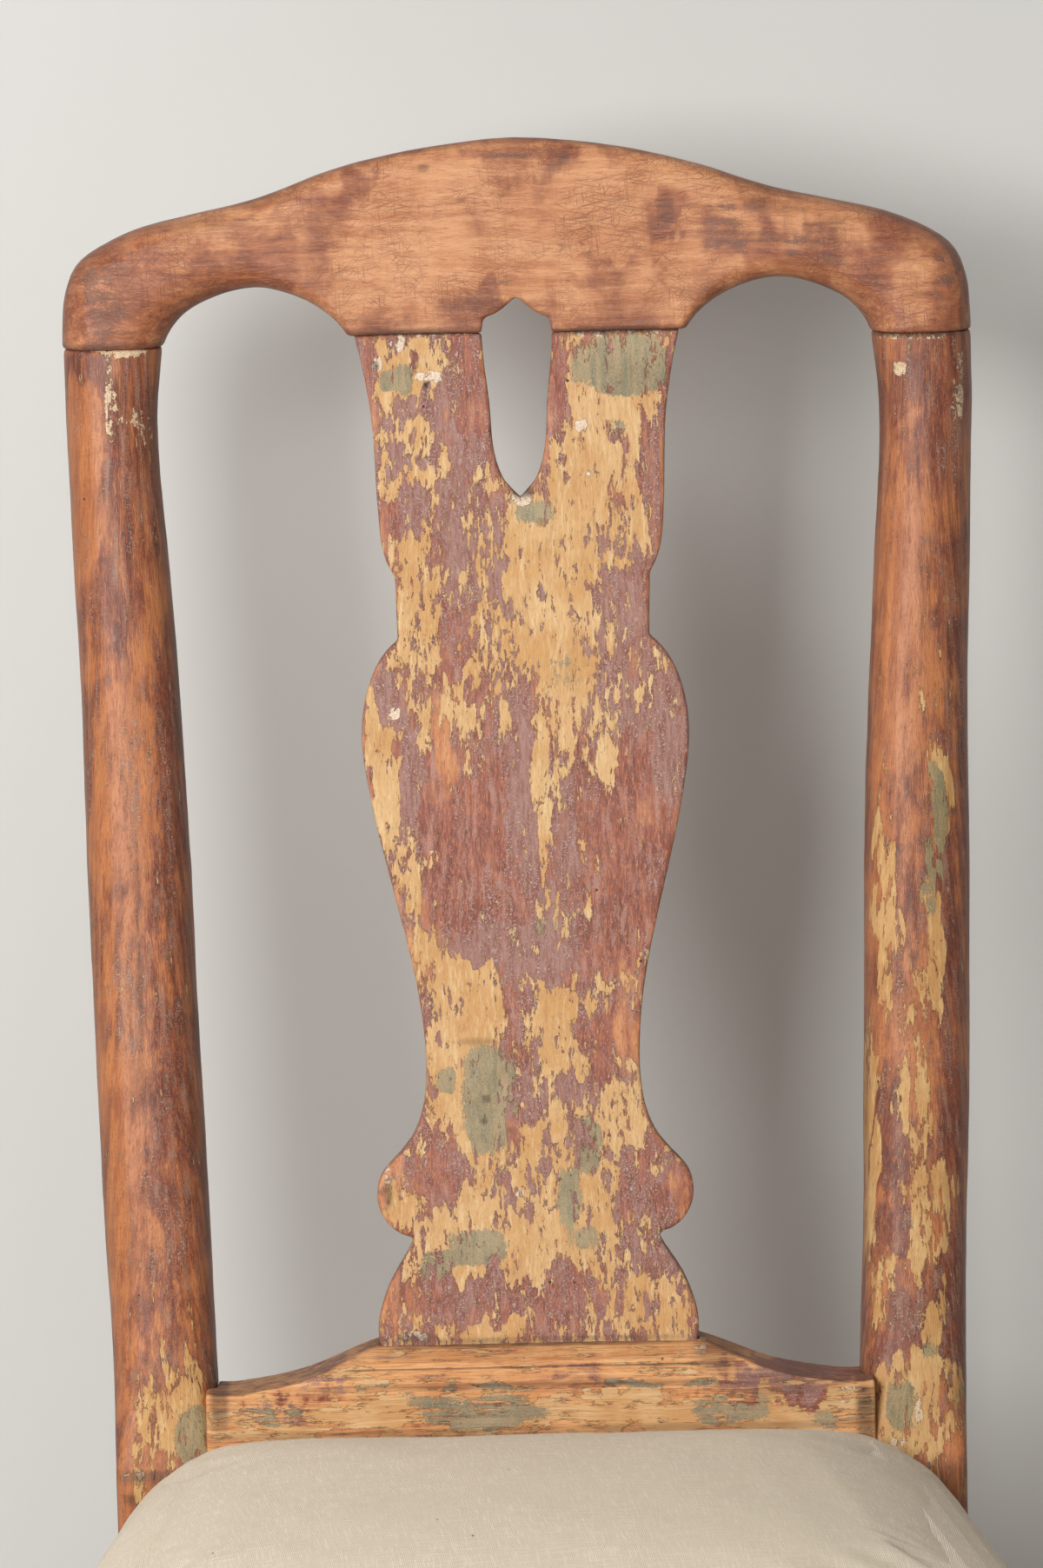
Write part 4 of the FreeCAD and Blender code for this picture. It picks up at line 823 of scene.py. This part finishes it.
def plainWood(name, look):
    material, shader, wire, place = startMaterial(name)
    long = place.scaled(look["grain"])
    rings = long.cloud(7, 5, 0.6, 2.6, 0.6)
    pores = long.cloud(1.6, 3)
    colour = rings.mix(look["light"], look["dark"])
    colour = pores.stain(colour, look["pore"], 0.6, 0.95, 0.6)
    colour = place.cloud(70, 4).stain(colour, look["stain"], 0.35, 0.9, 0.5)
    return finishMaterial(material, shader, colour, 0.72 + pores * 0.08, rings * 0.05 + pores * 0.08)


frameWood = {
    "light": tone(178, 140, 98), "dark": tone(140, 102, 66), "pore": tone(92, 62, 40),
    "stain": tone(98, 74, 54)}
pegWood = {
    "grain": (1, 1, 1), "light": tone(150, 104, 66), "dark": tone(112, 74, 46), "pore": tone(70, 46, 30),
    "stain": tone(80, 54, 38)}


def thread(run, shift, pitch):
    # rounded ridges of the threads that lie side by side along a length
    return run.sum("SINE", run * (2 * math.pi / pitch) + shift, 0.0) * 0.5 + 0.5


def wovenCloth(name, look, draped=False):
    # plain weave on the cloth's own two lengths, which a draped piece carries with it
    material, shader, wire, place = startMaterial(name)
    spread = place
    if draped:
        spread = wire.vector(channel(wire, "clothAcross"), channel(wire, "clothAlong"))
    slack = place.cloud(60, 2, 0.5, 1.0)  # threads wander a little
    turned = spread.turned((0, 0, look["turn"]), (1, 1, 1))
    first = turned.part("X") + slack * look["wander"]
    second = turned.part("Y") + slack * look["wander"] * 0.7
    warp, weft = thread(first, 0.0, look["pitch"]), thread(second, 1.3, look["pitch"])
    slubs = wire.vector(first * 0.9, second * 0.055).cloud(1.0, 3, 0.6, 2.6)
    slubsAcross = wire.vector(first * 0.055, second * 0.9, 5.0).cloud(1.0, 3, 0.6, 2.6)
    weave = warp * (0.75 + slubs * 0.5) * 0.5 + weft * (0.75 + slubsAcross * 0.5) * 0.5
    mottle = place.cloud(14, 5, 0.65, 2.4)
    colour = weave.step(0.1, 0.8).mix(look["gap"], look["thread"])
    colour = slubs.stain(colour, look["slub"], 0.55, 1.0, 0.5)
    colour = slubsAcross.stain(colour, look["slub"], 0.55, 1.0, 0.5)
    colour = place.cloud(90, 4, 0.6, 2.2).stain(colour, look["warm"], 0.3, 0.9, 0.45)
    colour = mottle.stain(colour, look["stain"], 0.6, 1.0, 0.25)
    seeds = place.scaled((1, 0.4, 1)).cells(17.0)
    flecks = (1 - seeds.step(0.02, 0.045)) * place.cloud(30, 1, 0.5, 2.4).step(0.4, 0.5)
    colour = (flecks * look["fleck"]).mix(colour, look["husk"])
    for label, value in (("Sheen Weight", 0.15), ("Sheen Roughness", 0.6), ("Specular IOR Level", 0.2)):
        shader.inputs[label].default_value = value
    height = weave * look["relief"] + slubs * 0.05
    return finishMaterial(material, shader, colour, 0.88 + mottle * 0.06, height)


linen = {
    "turn": 6.0, "pitch": 0.8, "wander": 1.2, "relief": 0.2, "fleck": 0.85,
    "thread": tone(235, 220, 197), "gap": tone(193, 174, 148), "slub": tone(240, 230, 212),
    "warm": tone(220, 203, 174), "stain": tone(206, 187, 154), "husk": tone(96, 78, 58)}
jute = {
    "turn": 0.0, "pitch": 2.2, "wander": 1.5, "relief": 0.5, "fleck": 0.5,
    "thread": tone(176, 148, 104), "gap": tone(96, 76, 50), "slub": tone(196, 168, 124),
    "warm": tone(150, 120, 80), "stain": tone(120, 94, 62), "husk": tone(70, 52, 36)}
hessianCloth = dict(jute, pitch=1.8, thread=tone(186, 158, 112), gap=tone(88, 70, 48))
calico = dict(linen, turn=0.0, pitch=1.0)


def finishNodes(material, *names):
    for name in names:
        mesh = nodes[name].data
        mesh.materials.clear()
        mesh.materials.append(material)


finishNodes(plainWood("oldBeechAcross", dict(frameWood, grain=(0.12, 1, 1))),
            "rear_seat_rail", "front_seat_rail", "corner_block_front_left", "corner_block_front_right",
            "corner_block_rear_left", "corner_block_rear_right")
finishNodes(plainWood("oldBeechAlong", dict(frameWood, grain=(1, 0.12, 1))),
            "side_seat_rail_left", "side_seat_rail_right")
finishNodes(plainWood("pegOak", pegWood), "joint_pegs", "shoe_dowels")
finishNodes(wovenCloth("juteWebbing", jute), "webbing_lengthwise", "webbing_crosswise")
finishNodes(wovenCloth("openHessian", hessianCloth), "seat_hessian")
finishNodes(wovenCloth("calicoUnderCover", calico), "seat_stuffing")
print("seat frame finished")


# Stuffed seat: closed form, swelled as cloth, then opened below as the linen cover

seat = {
    "front": back["front"], "depth": 0.430, "lap": 0.0019, "rearHalf": 0.2026, "flare": 0.11860465,
    "base": 0.348, "start": 0.407, "rollWide": 0.050, "rollTall": 0.050, "rearRoll": 0.009,
    "crownRise": 0.017, "crownReach": 0.8, "frontCorner": 0.0139, "rearCorner": 0.006, "cornerGrowth": 0.75,
    "rollShares": [(0, 0), (0.05, 0.13), (0.13, 0.28), (0.27, 0.48), (0.47, 0.69), (0.72, 0.86), (1, 1)],
    "crownShares": [(0.12, 0.25), (0.25, 0.44), (0.5, 0.75), (0.75, 0.93), (1, 1)],
    "rearGap": 0.0003, "wallRings": 8, "cornerSteps": 8, "sideSteps": 30,
    "voxel": 0.005, "soften": 2, "frames": 20, "heldEdge": 0.012, "heldRear": 0.014, "cap": 0.005,
    "thickness": 0.0012, "turn": 0.016,
    "layerTop": 0.4075, "hem": 0.016, "hemDrop": 0.0014, "legSide": 0.158, "legFront": -0.170,
}
swelling = {
    "quality": 5, "mass": 0.3, "tension_stiffness": 12, "compression_stiffness": 12, "bending_stiffness": 2,
    "use_pressure": True, "uniform_pressure_force": 4.0, "vertex_group_mass": "held"}
slackness = {
    "lumps": ((0.9, 0.07, (0, 0, 0)), (0.35, 0.026, (4, 1, 7))), "pull": 0.35, "folds": 9,
    "low": 0.405, "rise": 0.02, "corner": (0.205, 0.3, 0.05), "fan": (0.24, 0.40)}


def seatHalf(depth):
    # half the seat's width, cloth included, at a depth from its rear edge
    return seat["rearHalf"] + seat["flare"] * depth + seat["lap"]


def seatFront():
    return seat["front"] - seat["depth"] - seat["lap"]


def seatOutline(height, inset, frontInset, rearInset, growth):
    # level ring of points: straight sides and rounded corners
    front = seat["depth"] + seat["lap"] - frontInset
    rear = seat["rearGap"] + rearInset
    frontHalf, rearHalf = seatHalf(front) - inset, seatHalf(rear) - inset
    corners = [Vector((-frontHalf, -front)), Vector((frontHalf, -front)),
               Vector((rearHalf, -rear)), Vector((-rearHalf, -rear))]
    rearRadius = seat["rearCorner"] + growth * seat["rearRoll"] / seat["rollWide"]
    radii = [seat["frontCorner"] + growth] * 2 + [rearRadius] * 2
    arcs = []
    for index, here in enumerate(corners):
        before = (corners[index - 1] - here).normalized()
        after = (corners[(index + 1) % 4] - here).normalized()
        half = before.angle(after) / 2
        centre = here + (before + after).normalized() * (radii[index] / math.sin(half))
        start = here + before * (radii[index] / math.tan(half)) - centre
        end = here + after * (radii[index] / math.tan(half)) - centre
        arcs.append([centre + start.lerp(end, step / seat["cornerSteps"]).normalized() * radii[index]
                     for step in range(seat["cornerSteps"] + 1)])
    ring = []
    for index, arc in enumerate(arcs):
        following = arcs[(index + 1) % 4][0]
        ring += arc + [arc[-1].lerp(following, s / seat["sideSteps"]) for s in range(1, seat["sideSteps"])]
    return [(p.x, p.y + seat["front"], height) for p in ring]


def seatRings():
    start, wide = seat["start"], seat["rollWide"]
    rings = []
    for step in range(seat["wallRings"]):
        height = seat["base"] + (start - seat["base"]) * step / seat["wallRings"]
        rings.append(seatOutline(height, 0, 0, 0, 0))
    for x, z in seat["rollShares"]:
        inset = wide * x
        rings.append(seatOutline(start + seat["rollTall"] * z, inset, inset, seat["rearRoll"] * x,
                                 inset * seat["cornerGrowth"]))
    top = start + seat["rollTall"]
    middle = seat["depth"] / 2
    reach = seat["rearHalf"] + seat["flare"] * middle - wide
    for x, z in seat["crownShares"]:
        part = seat["crownReach"] * x
        rings.append(seatOutline(
            top + seat["crownRise"] * z, wide + reach * part, wide + (middle - wide) * part,
            seat["rearRoll"] + (middle - seat["rearRoll"]) * part, wide * seat["cornerGrowth"] * (1 - part)))
    return rings


def skin(work, rows, closed):
    # faces between rows of points that follow each other
    made = [[work.verts.new(point) for point in row] for row in rows]
    for lower, upper in zip(made, made[1:]):
        for index in range(len(lower) if closed else len(lower) - 1):
            after = (index + 1) % len(lower)
            work.faces.new((lower[index], lower[after], upper[after], upper[index]))
    return made


def seatForm():
    work = bmesh.new()
    made = skin(work, seatRings(), True)
    work.faces.new(list(reversed(made[0])))
    work.faces.new(made[-1])
    bmesh.ops.recalc_face_normals(work, faces=work.faces)
    mesh = bpy.data.meshes.new("linenCover")
    work.to_mesh(mesh)
    work.free()
    return link(bpy.data.objects.new("linenCover", mesh))


def swell(piece):
    # pressure fills the top; the sides on the rails and the rear edge are held
    before = pointsOf(piece)
    edge = seat["heldEdge"]
    low = np.clip((seat["start"] + edge - before[:, 2]) / edge, 0, 1)
    rear = np.clip((before[:, 1] - (seat["front"] - seat["heldRear"])) / edge, 0, 1)
    held = piece.vertex_groups.new(name="held")
    for index, share in enumerate(np.maximum(low, rear)):
        held.add([index], float(share), "REPLACE")
    cloth = piece.modifiers.new("cloth", "CLOTH")
    for name, value in swelling.items():
        setattr(cloth.settings, name, value)
    cloth.settings.effector_weights.gravity = 0
    cloth.collision_settings.use_collision = False
    cloth.point_cache.frame_start = 1
    cloth.point_cache.frame_end = seat["frames"]
    for number in range(1, seat["frames"] + 1):
        bpy.context.scene.frame_set(number)
    settle(piece)
    bpy.context.scene.frame_set(1)
    move = pointsOf(piece) - before
    length = np.linalg.norm(move, axis=1)
    factor = np.minimum(1.0, seat["cap"] / np.maximum(length, 1e-9))
    placePoints(piece, before + move * factor[:, None])


def slacken(piece):
    # soft lumps of the stuffing, and faint pulls towards the rear corners
    points, normals = pointsOf(piece), normalsOf(piece)
    half, wide, deep = slackness["corner"]
    side, level = slackness["fan"]
    shift = np.zeros(len(points))
    for index, point in enumerate(points):
        here = Vector(point)
        lift = max(0.0, min(1.0, (here.z - slackness["low"]) / slackness["rise"]))
        lumps = sum(depth * noise.noise(here / size + Vector(offset))
                    for depth, size, offset in slackness["lumps"])
        near = ((abs(here.x) / half - 1) / wide) ** 2 + ((here.y - seat["front"]) / deep) ** 2
        fan = math.sin(slackness["folds"] * math.atan2(here.z - level, side - abs(here.x)))
        shift[index] = lift * (lumps + math.exp(-near) * slackness["pull"] * fan) * mm
    placePoints(piece, points + normals * shift[:, None])


def onHem(x, y):
    # the strip turned under the rails, left out at the legs, brackets and rear edge
    edge = min(seatHalf(seat["front"] - y) - abs(x), y - seatFront())
    corner = abs(x) > seat["legSide"] and y < seat["legFront"]
    return edge < seat["hem"] and not corner and y < seat["front"] - 0.02


def openBelow(piece):
    work = bmesh.new()
    work.from_mesh(piece.data)
    gone = []
    for face in work.faces:
        centre = face.calc_center_median()
        level = face.normal.z < -0.7 and centre.z < seat["base"] + 0.004
        under = level and not onHem(centre.x, centre.y)
        low = centre.z < seat["layerTop"] + 0.001
        behind = face.normal.y > 0.6 and low and centre.y > seat["front"] - 0.01
        if under or behind:
            gone.append(face)
    bmesh.ops.delete(work, geom=gone, context="FACES")
    for vert in work.verts:
        if vert.co.z < seat["base"] + 0.003 and onHem(vert.co.x, vert.co.y):
            vert.co.z = min(vert.co.z, seat["base"]) - seat["hemDrop"]
    work.to_mesh(piece.data)
    work.free()
    wall = piece.modifiers.new("wall", "SOLIDIFY")
    wall.thickness = seat["thickness"]
    wall.offset = -1
    settle(piece)


def layThreads(piece):
    # lengths of the cloth from the middle of the seat, in millimetres
    x, y, z = pointsOf(piece).T
    drop = np.maximum(0.0, seat["start"] + seat["rollTall"] - z)
    toSide, toFront = seatHalf(seat["front"] - y) - np.abs(x), y - seatFront()
    sideShare = np.clip(0.5 + (toFront - toSide) / seat["turn"], 0, 1)
    storeChannel(piece, "clothAcross", (x + np.sign(x) * drop * sideShare) / mm)
    storeChannel(piece, "clothAlong", (y - drop * (1 - sideShare)) / mm)


def makeSeat():
    piece = seatForm()
    evenOut(piece, seat["voxel"], seat["soften"])
    swell(piece)
    finer = piece.modifiers.new("finer", "SUBSURF")
    finer.levels = finer.render_levels = 1
    settle(piece)
    slacken(piece)
    openBelow(piece)
    layThreads(piece)
    piece.data.materials.clear()
    piece.data.materials.append(wovenCloth("palePlainLinen", linen, True))
    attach(piece, "root")
    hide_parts("seat_cover")
    area = sum(face.area for face in piece.data.polygons) / 2
    print("linen cover:", len(piece.data.polygons), "faces,", round(area, 4), "square metres")


makeSeat()


# Tacks that hold the linen's hem under the rails

tack = {
    "spacing": 0.024, "level": 0.3464, "inset": 0.6, "frontHalf": 6, "sideCount": 12, "sideStart": -0.155,
    "head": {"Head Radius": 0.0042, "Head Rise": 0.4, "Size Change": 0.12, "Seed": 7}}


def tackTree(material):
    tree = bpy.data.node_groups.new("tackRows", "GeometryNodeTree")
    for way, label, kind in (
            ("INPUT", "Geometry", "Geometry"), ("INPUT", "Head Radius", "Float"),
            ("INPUT", "Head Rise", "Float"), ("INPUT", "Size Change", "Float"), ("INPUT", "Seed", "Int"),
            ("OUTPUT", "Geometry", "Geometry")):
        tree.interface.new_socket(label, in_out=way, socket_type="NodeSocket" + kind)
    entry = tree.nodes.new("NodeGroupInput")
    given = {socket.name: Wire(tree, socket) for socket in entry.outputs}
    wire = Wire(tree)
    ball = wire.node("GeometryNodeMeshUVSphere", {}, {
        "Segments": 12, "Rings": 6, "Radius": given["Head Radius"]}, "Mesh")
    head = wire.node("GeometryNodeTransform", {}, {
        "Geometry": ball, "Scale": wire.vector(1.0, 1.0, given["Head Rise"])})
    size = wire.node("FunctionNodeRandomValue", {"data_type": "FLOAT"}, {
        2: 1 - given["Size Change"], 3: 1.0, "Seed": given["Seed"]}, 1)
    heads = wire.node("GeometryNodeInstanceOnPoints", {}, {
        "Points": given["Geometry"], "Instance": head, "Scale": size})
    real = wire.node("GeometryNodeRealizeInstances", {}, {"Geometry": heads})
    painted = wire.node("GeometryNodeSetMaterial", {}, {"Geometry": real, "Material": material})
    painted.into(tree.nodes.new("NodeGroupOutput").inputs["Geometry"])
    return tree


def tackIron():
    material, shader, wire, place = startMaterial("darkTackIron")
    rust = place.cloud(2.0, 3)
    colour = rust.mix(tone(74, 64, 58), tone(112, 74, 52))
    shader.inputs["Metallic"].default_value = 0.6
    return finishMaterial(material, shader, colour, 0.5 + rust * 0.2, rust * 0.1)


def makeTacks():
    inset, level = seat["hem"] * tack["inset"], tack["level"]
    half = tack["frontHalf"]
    spots = [(step * tack["spacing"], seatFront() + inset, level) for step in range(-half, half + 1)]
    for step in range(tack["sideCount"]):
        y = tack["sideStart"] + step * tack["spacing"]
        spots += [(side * (seatHalf(seat["front"] - y) - inset), y, level) for side in (-1, 1)]
    mesh = bpy.data.meshes.new("hemTacks")
    mesh.from_pydata(spots, [], [])
    piece = link(bpy.data.objects.new("hemTacks", mesh))
    tree = tackTree(tackIron())
    rows = piece.modifiers.new("rows", "NODES")
    rows.node_group = tree
    for socket in tree.interface.items_tree:
        if socket.name in tack["head"]:
            rows[socket.identifier] = tack["head"][socket.name]
    settle(piece)
    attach(piece, "root")
    print("tacks:", len(spots))


makeTacks()


# Floor, wall and light

studio = {
    "wallGap": 0.175, "bend": 0.12, "bendSteps": 16, "wallLift": 0.0002, "wallHeight": 4.0, "wallHalf": 5.0,
    "floorReach": 16.0, "farFloor": (0.9, 3.0), "world": 0.18, "aim": (0, 0.2, 0.75),
    "wallTone": tone(218, 217, 213), "floorTone": tone(214, 212, 208), "paleTone": tone(214, 214, 210),
}
# place, size and power of each lamp
lamps = {
    "keyLight": ((-0.96, -1.66, 1.41), 0.95, 43.0),
    "fillLight": ((0.4, -3.6, 2.2), 2.0, 8.0),
    "topLight": ((0.0, -0.6, 2.9), 1.6, 6.0)}


def stagePiece(name, rows, material):
    mesh = bpy.data.meshes.new(name)
    work = bmesh.new()
    skin(work, rows, False)
    work.to_mesh(mesh)
    work.free()
    mesh.materials.append(material)
    piece = link(bpy.data.objects.new(name, mesh))


def seenDirectly(wire):
    # 1 for what the camera sees, also by reflection or through glass
    camera, glossy, clear = (wire.node("ShaderNodeLightPath", output="Is " + kind + " Ray")
                             for kind in ("Camera", "Glossy", "Transmission"))
    return camera.most(glossy).most(clear)


def stageMaterial(name, colour):
    material, shader, wire, spot = startMaterial(name)
    for label, value in (("Base Color", colour), ("Roughness", 0.9), ("Specular IOR Level", 0.1)):
        shader.inputs[label].default_value = value
    surface = material.node_tree.nodes["Material Output"].inputs["Surface"]
    return material, Wire(material.node_tree, shader.outputs[0]), wire, surface


def makeWall(rear):
    # one-sided, so that the chair can be seen from behind
    material, lit, wire, surface = stageMaterial("palePaper", studio["wallTone"])
    behind = wire.node("ShaderNodeNewGeometry", output="Backfacing")
    behind.shaderMix(lit, wire.node("ShaderNodeBsdfTransparent")).into(surface)
    bend, side = studio["bend"], studio["wallHalf"]
    turns = [math.pi / 2 * step / studio["bendSteps"] for step in range(studio["bendSteps"] + 1)]
    rows = [(rear - bend + bend * math.sin(t), studio["wallLift"] + bend - bend * math.cos(t)) for t in turns]
    rows.append((rear, studio["wallHeight"]))
    stagePiece("paleWall", [[(-side, y, z), (side, y, z)] for y, z in rows], material)


def makeFloor(rear):
    # far from the chair and behind the wall it keeps a pale tone
    material, lit, wire, surface = stageMaterial("paleFloor", studio["floorTone"])
    spot = wire.node("ShaderNodeTexCoord", output="Object")
    away = wire.node("ShaderNodeVectorMath", {"operation": "LENGTH"}, {0: spot}, "Value")
    pale = wire.node("ShaderNodeEmission", {}, {"Color": studio["paleTone"], "Strength": 1.0})
    pastWall = spot.part("Y").step(rear - studio["bend"], rear)
    share = away.step(*studio["farFloor"]).most(pastWall) * seenDirectly(wire)
    share.shaderMix(lit, pale).into(surface)
    far = studio["floorReach"]
    stagePiece("paleFloor", [[(-far, -far, 0), (far, -far, 0)], [(-far, far, 0), (far, far, 0)]], material)


def addLamp(name, place, size, power):
    data = bpy.data.lights.new(name, "AREA")
    data.size = size
    data.energy = power
    lamp = link(bpy.data.objects.new(name, data))
    aim = Vector(studio["aim"]) - Vector(place)
    lamp.matrix_world = Matrix.Translation(place) @ aim.to_track_quat("-Z", "Y").to_matrix().to_4x4()


def lightStage():
    for name, (place, size, power) in lamps.items():
        addLamp(name, place, size, power)
    world = bpy.data.worlds.new("studioAir")
    world.use_nodes = True
    air = Wire(world.node_tree)
    soft, pale = (air.node("ShaderNodeBackground", {}, {"Color": colour, "Strength": strength})
                  for colour, strength in (((1, 1, 1, 1), studio["world"]), (studio["paleTone"], 1.0)))
    seenDirectly(air).shaderMix(soft, pale).into(world.node_tree.nodes["World Output"].inputs["Surface"])
    bpy.context.scene.world = world
    bpy.context.scene.view_settings.view_transform = "Standard"


rearWall = cadBox[1][1] + studio["wallGap"]
makeFloor(rearWall)
makeWall(rearWall)
lightStage()
print("stage lit")
